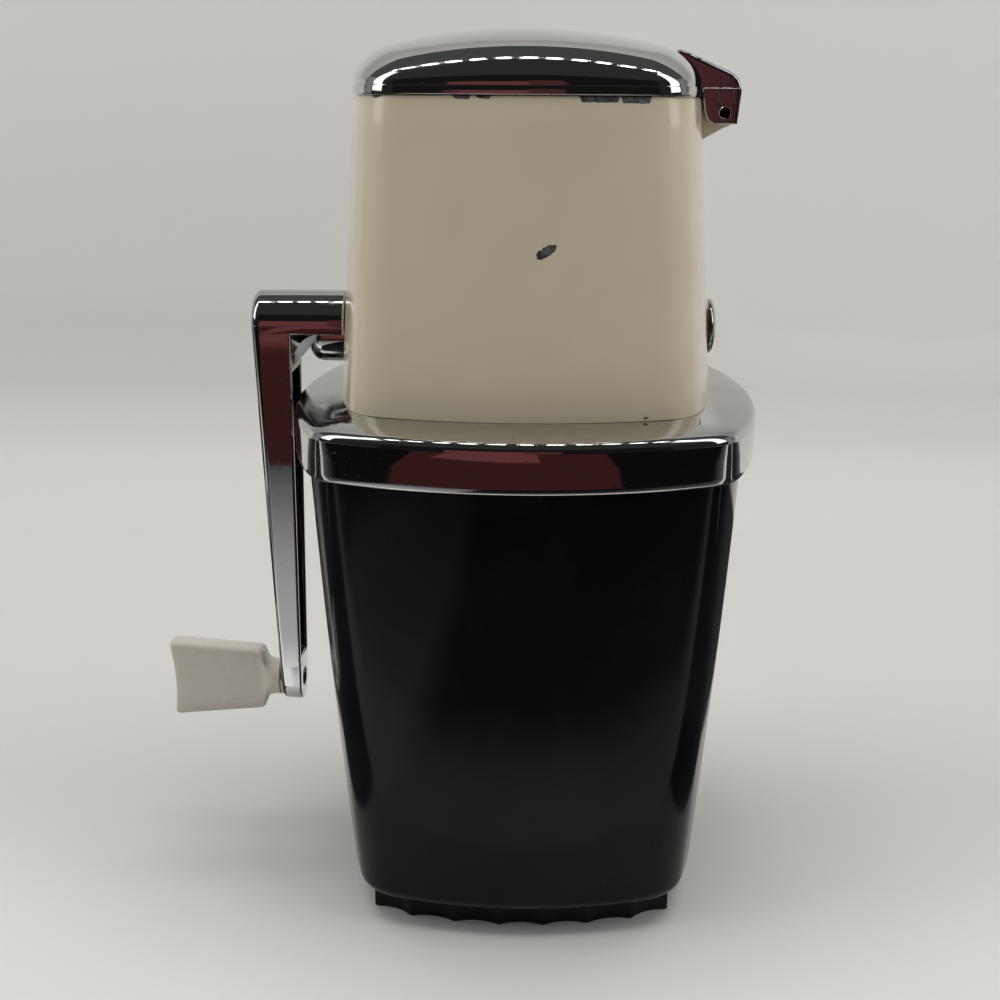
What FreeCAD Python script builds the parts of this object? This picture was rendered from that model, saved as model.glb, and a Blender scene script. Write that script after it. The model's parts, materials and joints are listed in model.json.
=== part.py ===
import FreeCAD, Part
import math
import os
import re
import Sketcher

# A hand crank ice crusher. Millimetres, +Z up, origin at the middle of the foot's underside.
# The crank is on the -X side, the lid's hinge on the +X side, and the front faces -Y.

SIZES = {
    # plan outline: a square with bulged sides and round corners
    "bulge_radius": 127.0,
    "corner_radius": 15.0,
    # rubber foot
    "foot_half": 46.0,
    "foot_height": 8.0,
    "foot_corner_x": 43.2,
    "foot_corner_y": 36.6,
    "scallop_depth": 1.5,
    "front_scallop_pitch": 13.0,
    "front_scallops": 7,
    "side_scallop_pitch": 12.2,
    "side_scallops": 6,
    "foot_plate_radius": 12.0,
    "foot_plate_thickness": 1.6,
    "foot_screw_radius": 2.0,
    "foot_screw_depth": 5.5,
    "foot_screw_end_gap": 0.3,
    "foot_screw_head_radius": 4.0,
    "foot_screw_head_height": 2.2,
    "foot_screw_slot_width": 0.8,
    "foot_screw_slot_depth": 1.2,
    # cup for the crushed ice
    "cup_base_half": 52.6,
    "cup_middle_half": 58.3,
    "cup_top_half": 62.6,
    "cup_wall": 2.4,
    "cup_floor": 4.0,
    "cup_edge_radius": 4.5,
    "cup_base_straight": 0.2,
    "cup_floor_cove": 0.6,
    # chrome collar
    "collar_half": 65.3,
    "collar_wall": 1.8,
    "collar_bottom": 135.0,
    "collar_rim": 148.3,
    "collar_rise": 2.2,
    "collar_deck": 2.2,
    "collar_rim_radius": 2.6,
    "collar_lip_radius": 0.8,
    "deck_throat_gap": 3.5,
    # housing
    "housing_foot_half": 51.9,
    "housing_mouth_half": 46.4,
    "housing_height": 79.0,
    "housing_wall": 3.0,
    "ledge_height": 16.0,
    "ledge_thickness": 5.0,
    "ledge_side": 9.9,
    "post_inset": 13.4,
    "post_radius": 4.6,
    "deck_screw_radius": 1.9,
    "deck_screw_grip": 7.0,
    "deck_screw_end_gap": 0.5,
    # rotor and its bearings
    "shaft_rise": 17.0,
    "journal_radius": 4.9,
    "bearing_clearance": 0.06,
    "bush_radius": 7.0,
    "bush_flange_radius": 9.0,
    "bush_flange_thickness": 1.5,
    "bearing_boss_radius": 10.0,
    "bearing_boss_depth": 10.9,
    "hex_flats": 11.0,
    "hex_clearance": 0.1,
    "cutter_count": 5,
    "stack_end_room": 6.0,
    "cutter_thickness": 4.0,
    "cutter_teeth": 5,
    "cutter_root_radius": 12.0,
    "cutter_tip_radius": 21.0,
    "cutter_tooth_width": 8.0,
    "cutter_tip_width": 1.9,
    "tooth_sink": 2.0,
    "spacer_radius": 8.5,
    "thrust_washer_thickness": 0.8,
    "end_play": 0.1,
    # combs that the cutters pass through
    "comb_thickness": 3.0,
    "comb_wall_gap": 10.4,
    "comb_bearing": 5.5,
    "comb_root": 27.0,
    "fine_tooth_tip": 10.5,
    "fine_tooth_width": 7.0,
    "coarse_tooth_tip": 15.0,
    "coarse_tooth_width": 4.5,
    "comb_corner_cut": 3.0,
    "comb_screw_place": 21.0,
    "comb_screw_edge": 2.5,
    "comb_screw_radius": 1.6,
    # lid and its hinge
    "lid_half": 46.9,
    "lid_gap": 0.3,
    "lid_height": 17.6,
    "lid_wall": 2.0,
    "lid_dome_radius": 165.0,
    "lid_shoulder_radius": 10.0,
    "pin_reach": 52.5,
    "pin_drop": 3.4,
    "pin_radius": 1.55,
    "pin_recess": 1.0,
    "pin_running_clearance": 0.08,
    "lug_width": 24.0,
    "lug_cheek": 5.2,
    "cheek_inner": 2.6,
    "cheek_outer": 3.5,
    "cheek_drop": 2.9,
    "beak_reach": 4.2,
    "beak_rise": 5.6,
    "brow_reach": 1.7,
    "brow_rise": 9.2,
    "lug_root_reach": 10.5,
    "lug_root_drop": 7.2,
    "lug_root_rise": 2.0,
    "lug_back_gap": 0.9,
    "lug_back_rise": 0.4,
    "lug_edge_radius": 1.2,
    "lug_slot_bite": 0.1,
    "knuckle_radius": 3.9,
    "knuckle_clearance": 0.4,
    "knuckle_web_drop": 7.0,
    "knuckle_web_foot": 1.0,
    "knuckle_web_reach": 2.7,
    "knuckle_web_rise": 3.1,
    # crank
    "crank_clearance": 0.4,
    "hub_end": 78.6,
    "hub_radius": 9.35,
    "hub_skirt": 2.2,
    "hub_end_wall": 2.4,
    "hub_edge_radius": 2.0,
    "boss_radius": 7.8,
    "boss_drop": 2.2,
    "boss_end": 63.0,
    "boss_edge_radius": 2.5,
    "gusset_height": 8.5,
    "gusset_reach": 6.5,
    "gusset_radius": 11.0,
    "gusset_root": 3.0,
    "arm_inner_top": 66.2,
    "arm_inner_tip": 67.9,
    "arm_outer_top": 77.6,
    "arm_outer_tip": 73.9,
    "arm_tip_radius": 6.8,
    "arm_flange": 1.9,
    "arm_web": 2.0,
    "channel_end_gap": 1.0,
    "rivet_recess_radius": 3.6,
    "rivet_recess_depth": 1.2,
    "washer_seat_radius": 5.8,
    "crank_radius": 110.0,
    "grub_screw_radius": 2.0,
    "grub_screw_sink": 0.4,
    # paddle grip
    "paddle_neck_radius": 5.5,
    "paddle_neck_length": 5.0,
    "paddle_neck_grip": 5.0,
    "paddle_shoulder": 1.3,
    "paddle_shoulder_length": 4.0,
    "paddle_shoulder_radius": 4.6,
    "paddle_end_gap": 0.1,
    "paddle_length": 33.0,
    "paddle_root_half": 9.6,
    "paddle_tip_half": 12.0,
    "paddle_thickness": 7.6,
    "paddle_hollow": 1.2,
    "paddle_edge_radius": 2.2,
    "paddle_bore_clearance": 0.1,
    "paddle_washer_thickness": 0.6,
    "paddle_pin_radius": 2.4,
    "paddle_pin_head_radius": 3.5,
    "paddle_pin_head_depth": 3.0,
    "paddle_pin_head_thickness": 1.4,
    "paddle_pin_seat_gap": 0.1,
    "paddle_pin_end_sink": 0.6,
    # shaft end cap
    "cap_radius": 7.8,
    "cap_edge": 0.5,
    "cap_dome": 2.0,
    "cap_spigot_radius": 2.5,
    "cap_spigot_length": 6.0,
    # how far a cut or a joining solid runs past the face it meets
    "overrun": 1.0,
}

# Heights and places that follow from the sizes, written as rules on the sheet's names.
CUP_BOTTOM = "foot_height"
DECK_UNDER = "(collar_rim - collar_deck)"
HOUSING_FOOT = "(collar_rim + collar_rise)"
SHAFT_HEIGHT = "(collar_rim + collar_rise + shaft_rise)"
HOUSING_TOP = "(collar_rim + collar_rise + housing_height)"
LEDGE_TOP = "(collar_rim + collar_rise + ledge_height)"
LEDGE_UNDER = "(collar_rim + collar_rise + ledge_height - ledge_thickness)"
LID_BOTTOM = "(collar_rim + collar_rise + housing_height + lid_gap)"
PIN_HEIGHT = "(collar_rim + collar_rise + housing_height - pin_drop)"
DRAFT = "((housing_foot_half - housing_mouth_half) / housing_height)"
BOSS_FACE = "(housing_foot_half - bearing_boss_depth)"
POST_PLACE = "(housing_foot_half - post_inset)"
DECK_THROAT = "(housing_foot_half - post_inset - deck_throat_gap)"
THROAT_X = "(housing_foot_half - ledge_side)"
COMB_BACK = "(housing_foot_half - comb_wall_gap)"
COMB_SCREW_LINE = "(housing_foot_half - comb_wall_gap - comb_screw_edge)"
THROAT_Y = "(housing_foot_half - comb_wall_gap - comb_bearing)"
WALL_AT_SHAFT = f"(housing_foot_half - shaft_rise * {DRAFT})"
WALL_UNDER_CAP = f"(housing_foot_half - (shaft_rise - cap_radius) * {DRAFT})"
HUB_FACE = f"(housing_foot_half - (shaft_rise - hub_radius) * {DRAFT} + crank_clearance)"
CAP_BASE = f"({WALL_UNDER_CAP} + crank_clearance)"
BUSH_FACE = f"({BOSS_FACE} - bush_flange_thickness)"
THRUST_FACE = f"({BUSH_FACE} - end_play - thrust_washer_thickness)"
PITCH = f"(2 * ({BOSS_FACE} - stack_end_room) / cutter_count)"
STACK_HALF = f"((cutter_count - 1) * {PITCH} / 2 + cutter_thickness / 2)"
PADDLE_AXIS = f"({SHAFT_HEIGHT} - crank_radius)"
PADDLE_FACE = "(arm_outer_tip + paddle_washer_thickness + paddle_end_gap)"
PADDLE_END = f"({PADDLE_FACE} + paddle_length)"
HEX_CORNER = "(hex_flats / 2 / cos(30))"
SHAFT_TIP = "(hub_end - hub_end_wall)"

# Shares that hold for every size: a comb tooth's half width at its tip, and a screw head for its shank
TOOTH_TAPER = "0.35"
HEAD_SPREAD = "1.9"
HEAD_DEPTH = "1.1"
# Lengths under this are the same
TOUCH = 0.01

doc = FreeCAD.newDocument("IceCrusher")
sheet = doc.addObject("Spreadsheet::Sheet", "Sizes")
for row, (name, size) in enumerate(SIZES.items(), start=1):
    sheet.set(f"A{row}", name)
    sheet.set(f"B{row}", str(size))
    sheet.setAlias(f"B{row}", name)
doc.recompute()

nodes = []


def rule(text):
    """The same rule with each size's name pointing at its cell in the sheet."""
    return re.sub(r"[a-z_]{3,}", lambda word: "Sizes." + word[0] if word[0] in SIZES else word[0], str(text))


def value(text):
    """The number that a rule gives with the present sizes."""
    return float(eval_rule(text))


def eval_rule(text):
    answer = sheet.evalExpression(str(text))
    return getattr(answer, "Value", answer)


def bind(thing, prop, text):
    thing.setExpression(prop, rule(text))


def new_body(label):
    body = doc.addObject("PartDesign::Body", label)
    body.Label = label
    nodes.append(body)
    return body


def new_sketch(body, plane, offset="0"):
    """A sketch on one of the body's own planes, moved along the plane's normal."""
    sketch = body.newObject("Sketcher::SketchObject", body.Label + "_sketch")
    support = [item for item in body.Origin.OriginFeatures if item.Role == plane][0]
    sketch.AttachmentSupport = [(support, "")]
    sketch.MapMode = "FlatFace"
    bind(sketch, "AttachmentOffset.Base.z", offset)
    return sketch


def drive(sketch, kind, places, text):
    """Adds a measured constraint and binds it to the sheet."""
    index = sketch.addConstraint(Sketcher.Constraint(kind, *places, value(text)))
    bind(sketch, f"Constraints[{index}]", text)


def place_point(sketch, curve, end, x, y):
    drive(sketch, "DistanceX", (-1, 1, curve, end), x)
    drive(sketch, "DistanceY", (-1, 1, curve, end), y)


def circle(sketch, x, y, radius):
    centre = FreeCAD.Vector(value(x), value(y), 0)
    curve = sketch.addGeometry(Part.Circle(centre, FreeCAD.Vector(0, 0, 1), value(radius)))
    place_point(sketch, curve, 3, x, y)
    drive(sketch, "Radius", (curve,), radius)


def outline(sketch, points, arcs=None):
    """A closed outline through points; arcs maps an edge's number to (radius, bulge sign)."""
    arcs = arcs or {}
    spots = [FreeCAD.Vector(value(x), value(y), 0) for x, y in points]
    curves = []
    for number, start in enumerate(spots):
        end = spots[(number + 1) % len(spots)]
        if number in arcs:
            radius, sign = value(arcs[number][0]), arcs[number][1]
            half = (end - start).Length / 2
            rise = radius - math.sqrt(max(radius * radius - half * half, 0))
            across = FreeCAD.Vector(end.y - start.y, start.x - end.x, 0).normalize()
            middle = (start + end) / 2 + across * rise * sign
            curves.append(sketch.addGeometry(Part.Arc(start, middle, end)))
        else:
            curves.append(sketch.addGeometry(Part.LineSegment(start, end)))
    for number, curve in enumerate(curves):
        reversed_arc = number in arcs and arcs[number][1] < 0
        first = 2 if reversed_arc else 1
        place_point(sketch, curve, first, *points[number])
        following = (number + 1) % len(curves)
        next_first = 2 if following in arcs and arcs[following][1] < 0 else 1
        last = 1 if reversed_arc else 2
        sketch.addConstraint(Sketcher.Constraint("Coincident", curve, last, curves[following], next_first))
        if number in arcs:
            drive(sketch, "Radius", (curve,), arcs[number][0])


def rectangle(sketch, left, right, low, high):
    outline(sketch, [(left, low), (right, low), (right, high), (left, high)])


def bulged_square(sketch, half, inset="0"):
    """A square whose sides bulge on large arcs, with tangent round corners, moved in by inset."""
    bulge = f"(bulge_radius - ({inset}))"
    corner = f"(corner_radius - ({inset}))"
    side_centre = f"({bulge} - ({half}) + ({inset}))"
    big, small, back = value(bulge), value(corner), value(side_centre)
    reach = big - small
    middle = (-back + math.sqrt(2 * reach * reach - back * back)) / 2
    spread = math.atan2(middle, middle + back)
    up = FreeCAD.Vector(0, 0, 1)
    sides, corners = [], []
    for quarter in range(4):
        turn = quarter * math.pi / 2
        centre = FreeCAD.Vector(-back * math.cos(turn), -back * math.sin(turn), 0)
        side = Part.ArcOfCircle(Part.Circle(centre, up, big), turn - spread, turn + spread)
        sides.append(sketch.addGeometry(side))
        slant = turn + math.pi / 4
        centre = FreeCAD.Vector(math.cos(slant), math.sin(slant), 0) * middle * math.sqrt(2)
        bend = Part.ArcOfCircle(Part.Circle(centre, up, small), turn + spread, turn + math.pi / 2 - spread)
        corners.append(sketch.addGeometry(bend))
    for quarter in range(4):
        following = sides[(quarter + 1) % 4]
        sketch.addConstraint(Sketcher.Constraint("Tangent", sides[quarter], 2, corners[quarter], 1))
        sketch.addConstraint(Sketcher.Constraint("Tangent", corners[quarter], 2, following, 1))
        axis = -1 if quarter % 2 == 0 else -2
        sketch.addConstraint(Sketcher.Constraint("PointOnObject", sides[quarter], 3, axis))
        direction = "DistanceX" if quarter % 2 == 0 else "DistanceY"
        sign = "-" if quarter < 2 else ""
        drive(sketch, direction, (-1, 1, sides[quarter], 3), f"{sign}{side_centre}")
        drive(sketch, "Radius", (sides[quarter],), bulge)
        drive(sketch, "Radius", (corners[quarter],), corner)


def pad(body, sketch, length, symmetric=False, backward=False, kind="Pad"):
    """Grows (Pad) or cuts (Pocket) a sketch by a length, both ways if symmetric."""
    feature = body.newObject("PartDesign::" + kind, body.Label + "_" + kind.lower())
    feature.Profile = (sketch, [""])
    bind(feature, "Length", length)
    feature.Midplane = symmetric
    feature.Reversed = backward
    return feature


def cut(body, sketch, length, symmetric=False, forward=False):
    """Cuts along the sketch's normal if forward, otherwise against it, and checks that it cut."""
    doc.recompute()
    before = body.Shape.Volume
    feature = pad(body, sketch, length, symmetric, forward, "Pocket")
    doc.recompute()
    if not body.Shape.Volume < before:
        raise RuntimeError(f"{body.Label}: {feature.Label} cuts nothing")
    return feature


def loft(body, sketches, kind="AdditiveLoft", ruled=True):
    feature = body.newObject("PartDesign::" + kind, body.Label + "_loft")
    feature.Profile = (sketches[0], [""])
    feature.Sections = [(sketch, [""]) for sketch in sketches[1:]]
    feature.Ruled = ruled
    return feature


def revolve(body, sketch, axis, kind="Revolution"):
    feature = body.newObject("PartDesign::" + kind, body.Label + "_turned")
    feature.Profile = (sketch, [""])
    feature.ReferenceAxis = (sketch, [axis])
    feature.Angle = 360
    return feature


def fillet(body, base, radius, wanted):
    """Rounds the edges of a feature that the test picks."""
    doc.recompute()
    names = [f"Edge{n}" for n, edge in enumerate(base.Shape.Edges, start=1) if wanted(edge)]
    feature = body.newObject("PartDesign::Fillet", body.Label + "_fillet")
    feature.Base = (base, names)
    bind(feature, "Radius", radius)
    return feature


def level(edge, axis, place):
    """True if the whole edge lies in the plane at this place on the axis (0, 1 or 2)."""
    box = edge.BoundBox
    low, high = ((box.XMin, box.XMax), (box.YMin, box.YMax), (box.ZMin, box.ZMax))[axis]
    return abs(low - place) < TOUCH and abs(high - place) < TOUCH


def turned(label, points, plane="XZ_Plane", arcs=None, height=SHAFT_HEIGHT):
    """A piece turned about a line along X: points are (x, radius) at the given height."""
    body = new_body(label)
    sketch = new_sketch(body, plane)
    outline(sketch, points, arcs)
    revolve(body, sketch, "H_Axis")
    bind(body, "Placement.Base.z", height)
    return body


# Rubber foot: a pad under the cup with scalloped sides and a ridge on each corner
def make_rubber_foot():
    body = new_body("rubber_foot")
    sketch = new_sketch(body, "XY_Plane")
    points = []
    for quarter in range(4):
        turn = FreeCAD.Rotation(FreeCAD.Vector(0, 0, 1), 90 * quarter)
        face = "front" if quarter % 2 else "side"
        ridges = int(value(face + "_scallops")) - 1
        for step in range(ridges):
            along = (step - (ridges - 1) / 2) * value(face + "_scallop_pitch")
            sag = value("bulge_radius") - math.sqrt(value("bulge_radius") ** 2 - along ** 2)
            points.append(turn.multVec(FreeCAD.Vector(value("foot_half") - sag, along, 0)))
        corner = [value("foot_corner_x"), value("foot_corner_y")]
        if face == "front":
            corner.reverse()
        points.append(turn.multVec(FreeCAD.Vector(*corner, 0)))
    for number, start in enumerate(points):
        end = points[(number + 1) % len(points)]
        outward = FreeCAD.Vector(end.y - start.y, start.x - end.x, 0).normalize()
        valley = (start + end) / 2 - outward * value("scallop_depth")
        sketch.addGeometry(Part.Arc(start, valley, end))
    pad(body, sketch, "foot_height")
    recess = new_sketch(body, "XY_Plane", "foot_height")
    circle(recess, "0", "0", "foot_plate_radius")
    cut(body, recess, "foot_plate_thickness")
    hole = new_sketch(body, "XY_Plane", "foot_height")
    circle(hole, "0", "0", "foot_screw_radius")
    cut(body, hole, "foot_screw_depth")


def make_foot_plate():
    body = new_body("foot_plate")
    sketch = new_sketch(body, "XY_Plane", "foot_height - foot_plate_thickness")
    circle(sketch, "0", "0", "foot_plate_radius")
    circle(sketch, "0", "0", "foot_screw_radius")
    pad(body, sketch, "foot_plate_thickness")


def make_foot_screw():
    body = new_body("foot_screw")
    seat = "(foot_height + cup_floor)"
    end = "(foot_height - foot_screw_depth + foot_screw_end_gap)"
    head = new_sketch(body, "XZ_Plane")
    outline(head, [("0", end), ("foot_screw_radius", end), ("foot_screw_radius", seat),
                   ("foot_screw_head_radius", seat),
                   ("foot_screw_head_radius", f"{seat} + foot_screw_head_height / 2"),
                   ("foot_screw_head_radius * 0.7", f"{seat} + foot_screw_head_height"),
                   ("0", f"{seat} + foot_screw_head_height")])
    revolve(body, head, "V_Axis")
    slot = new_sketch(body, "XY_Plane", f"{seat} + foot_screw_head_height")
    long = "(foot_screw_head_radius + overrun)"
    rectangle(slot, f"-{long}", long, "-foot_screw_slot_width / 2", "foot_screw_slot_width / 2")
    cut(body, slot, "foot_screw_slot_depth")


# Cup: thin walls that swell as they rise, with a hole in the floor for the foot's screw
def make_cup():
    body = new_body("cup")
    slab = section(body, CUP_BOTTOM, "cup_base_half")
    slab_pad = pad(body, slab, "cup_edge_radius + cup_base_straight")
    bottom = value(CUP_BOTTOM)
    fillet(body, slab_pad, "cup_edge_radius", lambda edge: level(edge, 2, bottom))
    slab_top = f"({CUP_BOTTOM} + cup_edge_radius + cup_base_straight)"
    half_way = f"(({slab_top} + {DECK_UNDER}) / 2)"
    places = [(slab_top, "cup_base_half"), (half_way, "cup_middle_half"), (DECK_UNDER, "cup_top_half")]
    loft(body, [section(body, height, half) for height, half in places], ruled=False)
    loft(body, [section(body, height, half, "cup_wall") for height, half in places], "SubtractiveLoft", False)
    well = section(body, f"{CUP_BOTTOM} + cup_floor", "cup_base_half", "cup_wall + cup_floor_cove")
    cut(body, well, "cup_edge_radius + 2 * cup_base_straight - cup_floor", forward=True)
    hole = new_sketch(body, "XY_Plane", CUP_BOTTOM)
    circle(hole, "0", "0", "foot_screw_radius")
    cut(body, hole, "cup_floor", forward=True)


# Collar: a chrome cover that drops over the cup's rim and carries the housing
def make_collar():
    body = new_body("collar")
    wall = new_sketch(body, "XY_Plane", "collar_bottom")
    bulged_square(wall, "collar_half")
    pad(body, wall, "collar_rim - collar_bottom")
    low = new_sketch(body, "XY_Plane", "collar_rim")
    bulged_square(low, "collar_half")
    high = new_sketch(body, "XY_Plane", HOUSING_FOOT)
    bulged_square(high, "housing_foot_half")
    deck = loft(body, [low, high])
    rim, lip = value("collar_rim"), value("collar_bottom")
    rounded = fillet(body, deck, "collar_rim_radius", lambda edge: level(edge, 2, rim))
    fillet(body, rounded, "collar_lip_radius", lambda edge: level(edge, 2, lip))
    inside = new_sketch(body, "XY_Plane", "collar_bottom")
    bulged_square(inside, "collar_half", "collar_wall")
    cut(body, inside, f"{DECK_UNDER} - collar_bottom", forward=True)
    throat = new_sketch(body, "XY_Plane", "collar_bottom")
    rectangle(throat, "-" + DECK_THROAT, DECK_THROAT, "-" + DECK_THROAT, DECK_THROAT)
    cut(body, throat, f"{HOUSING_FOOT} - collar_bottom", forward=True)
    holes = new_sketch(body, "XY_Plane", "collar_bottom")
    for x, y in four_corners(POST_PLACE, POST_PLACE):
        circle(holes, x, y, "deck_screw_radius")
    cut(body, holes, f"{HOUSING_FOOT} - collar_bottom", forward=True)


def four_corners(x, y):
    return [(across + x, along + y) for across in ("", "-") for along in ("", "-")]


# Housing: a drafted cast hopper with a ledge for the combs and bosses for the shaft
def make_housing():
    body = new_body("housing")
    ends = [(HOUSING_FOOT, "housing_foot_half"), (HOUSING_TOP, "housing_mouth_half")]
    ledge_half = f"(housing_foot_half - ledge_height * {DRAFT})"
    under_half = f"(housing_foot_half - (ledge_height - ledge_thickness) * {DRAFT})"
    loft(body, [section(body, height, half) for height, half in ends])
    hopper = [(LEDGE_TOP, ledge_half), ends[1]]
    loft(body, [section(body, height, half, "housing_wall") for height, half in hopper], "SubtractiveLoft")
    skirt = [ends[0], (LEDGE_UNDER, under_half)]
    loft(body, [section(body, height, half, "housing_wall") for height, half in skirt], "SubtractiveLoft")
    throat = new_sketch(body, "XY_Plane", LEDGE_UNDER)
    rectangle(throat, "-" + THROAT_X, THROAT_X, "-" + THROAT_Y, THROAT_Y)
    cut(body, throat, "ledge_thickness", forward=True)
    posts = new_sketch(body, "XY_Plane", HOUSING_FOOT)
    for x, y in four_corners(POST_PLACE, POST_PLACE):
        circle(posts, x, y, "post_radius")
    pad(body, posts, "ledge_height - ledge_thickness")
    depth = f"({WALL_AT_SHAFT} - housing_wall / 2 - {BOSS_FACE})"
    for side in ("", "-"):
        boss = new_sketch(body, "YZ_Plane", side + BOSS_FACE)
        circle(boss, "0", SHAFT_HEIGHT, "bearing_boss_radius")
        pad(body, boss, depth, backward=side == "-")
    for side in ("", "-"):
        bore = new_sketch(body, "YZ_Plane", side + BOSS_FACE)
        circle(bore, "0", SHAFT_HEIGHT, "bush_radius")
        cut(body, bore, "bearing_boss_depth", forward=side == "")
    add_knuckle(body)
    screws = new_sketch(body, "XY_Plane", HOUSING_FOOT)
    for x, y in four_corners(POST_PLACE, POST_PLACE):
        circle(screws, x, y, "deck_screw_radius")
    cut(body, screws, "deck_screw_grip", forward=True)
    tapped = new_sketch(body, "XY_Plane", LEDGE_UNDER)
    for x, y in four_corners("comb_screw_place", COMB_SCREW_LINE):
        circle(tapped, x, y, "comb_screw_radius")
    cut(body, tapped, "ledge_thickness", forward=True)


def section(body, height, half, inset="0"):
    sketch = new_sketch(body, "XY_Plane", height)
    bulged_square(sketch, half, inset)
    return sketch


def add_knuckle(body):
    """The housing's half of the hinge, between the lid's two cheeks."""
    width = "lug_width - 2 * lug_cheek - 2 * knuckle_clearance"
    inside = "(housing_mouth_half - housing_wall / 2)"
    web = new_sketch(body, "XZ_Plane")
    outline(web, [(inside, PIN_HEIGHT + " - knuckle_web_drop"),
                  ("housing_mouth_half + knuckle_web_foot", PIN_HEIGHT + " - knuckle_web_drop"),
                  ("pin_reach + knuckle_web_reach", PIN_HEIGHT + " - knuckle_web_reach"),
                  ("pin_reach", PIN_HEIGHT + " + knuckle_web_rise"),
                  (inside, PIN_HEIGHT + " + knuckle_web_rise")])
    pad(body, web, width, symmetric=True)
    eye = new_sketch(body, "XZ_Plane")
    circle(eye, "pin_reach", PIN_HEIGHT, "knuckle_radius")
    pad(body, eye, width, symmetric=True)
    hole = new_sketch(body, "XZ_Plane")
    circle(hole, "pin_reach", PIN_HEIGHT, "pin_radius + pin_running_clearance")
    cut(body, hole, "lug_width", symmetric=True)


# Lid: a chrome pillow dome, hollow below, cast in one with its hinge lug
def make_lid():
    core = doc.addObject("PartDesign::Body", "lid_core")
    shape_dome(core, "lid_wall")
    body = new_body("lid")
    shape_dome(body, "0")
    lug = new_sketch(body, "XZ_Plane")
    outline(lug, [("pin_reach - cheek_inner", PIN_HEIGHT + " - cheek_drop"),
                  ("pin_reach + cheek_outer", PIN_HEIGHT + " - cheek_drop"),
                  ("pin_reach + beak_reach", PIN_HEIGHT + " + beak_rise"),
                  ("pin_reach + brow_reach", PIN_HEIGHT + " + brow_rise"),
                  ("pin_reach - lug_root_reach", f"{LID_BOTTOM} + lid_height - lug_root_drop"),
                  ("pin_reach - lug_root_reach", LID_BOTTOM + " + lug_root_rise"),
                  ("lid_half + 2 * lug_slot_bite", LID_BOTTOM),
                  ("lid_half + lug_back_gap", PIN_HEIGHT + " + lug_back_rise")])
    lug_pad = pad(body, lug, "lug_width", symmetric=True)
    nose = value("pin_reach + brow_reach / 2")
    fillet(body, lug_pad, "lug_edge_radius", lambda edge: edge.BoundBox.XLength < TOUCH
           and edge.BoundBox.XMin > nose and edge.BoundBox.YLength > TOUCH)
    hollow = body.newObject("PartDesign::Boolean", "lid_hollow")
    hollow.setObjects([core])
    hollow.Type = "Cut"
    slot = new_sketch(body, "XZ_Plane")
    rectangle(slot, "lid_half - lug_slot_bite", "pin_reach + lug_width / 2", PIN_HEIGHT + " - lug_width / 3",
              PIN_HEIGHT + " + knuckle_radius + knuckle_clearance")
    cut(body, slot, "lug_width - 2 * lug_cheek", symmetric=True)
    hole = new_sketch(body, "XZ_Plane")
    circle(hole, "pin_reach", PIN_HEIGHT, "pin_radius")
    cut(body, hole, "lug_width", symmetric=True)


def shape_dome(body, inset):
    """The lid's outer shape moved in by inset: upright sides, round shoulders and a shallow dome."""
    top = f"({LID_BOTTOM} + lid_height - {inset})"
    radius = f"(lid_dome_radius - {inset})"
    plan = section(body, LID_BOTTOM, "lid_half", inset)
    pad(body, plan, "lid_height + overrun")
    doc.recompute()
    before = body.Shape.Volume
    sketch = new_sketch(body, "XZ_Plane")
    edge = "(lid_half * 1.45)"
    drop = f"({radius} - sqrt({radius} * {radius} - {edge} * {edge}))"
    above = f"{top} + 5 * overrun"
    outline(sketch, [("0", top), (edge, f"{top} - {drop}"), (edge, above), ("0", above)],
            {0: (radius, -1)})
    crown = revolve(body, sketch, "V_Axis", "Groove")
    doc.recompute()
    if not body.Shape.Volume < before:
        raise RuntimeError("the lid's dome cuts nothing")
    low = value(f"{LID_BOTTOM} + overrun")
    fillet(body, crown, f"lid_shoulder_radius - {inset}", lambda rim: rim.BoundBox.ZMin > low)


def make_hinge_pin():
    body = new_body("hinge_pin")
    sketch = new_sketch(body, "XZ_Plane")
    circle(sketch, "pin_reach", PIN_HEIGHT, "pin_radius")
    pad(body, sketch, "lug_width - 2 * pin_recess", symmetric=True)


# Bearing bushes, each with a flange inside the hopper
def make_bush(label, side):
    sign = "-" if side < 0 else ""
    turned(label, [
        (f"{sign}{BUSH_FACE}", "journal_radius + bearing_clearance"),
        (f"{sign}{WALL_AT_SHAFT}", "journal_radius + bearing_clearance"),
        (f"{sign}{WALL_AT_SHAFT}", "bush_radius"),
        (f"{sign}{BOSS_FACE}", "bush_radius"),
        (f"{sign}{BOSS_FACE}", "bush_flange_radius"),
        (f"{sign}{BUSH_FACE}", "bush_flange_radius")])


def six_corners(radius):
    return [(f"{radius} * cos({angle})", f"{radius} * sin({angle})") for angle in range(0, 360, 60)]


# Rotor shaft: a hexagon between two round journals, drilled at the rear for the cap
def make_rotor_shaft():
    body = turned("rotor_shaft", [
        (f"-{SHAFT_TIP}", "0"), (CAP_BASE, "0"), (CAP_BASE, "journal_radius"),
        (f"-{SHAFT_TIP}", "journal_radius")])
    hexagon = new_sketch(body, "YZ_Plane", f"-{THRUST_FACE}")
    outline(hexagon, six_corners(HEX_CORNER))
    pad(body, hexagon, f"2 * {THRUST_FACE}")
    socket = new_sketch(body, "YZ_Plane", CAP_BASE)
    circle(socket, "0", "0", "cap_spigot_radius")
    cut(body, socket, "cap_spigot_length")


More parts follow.
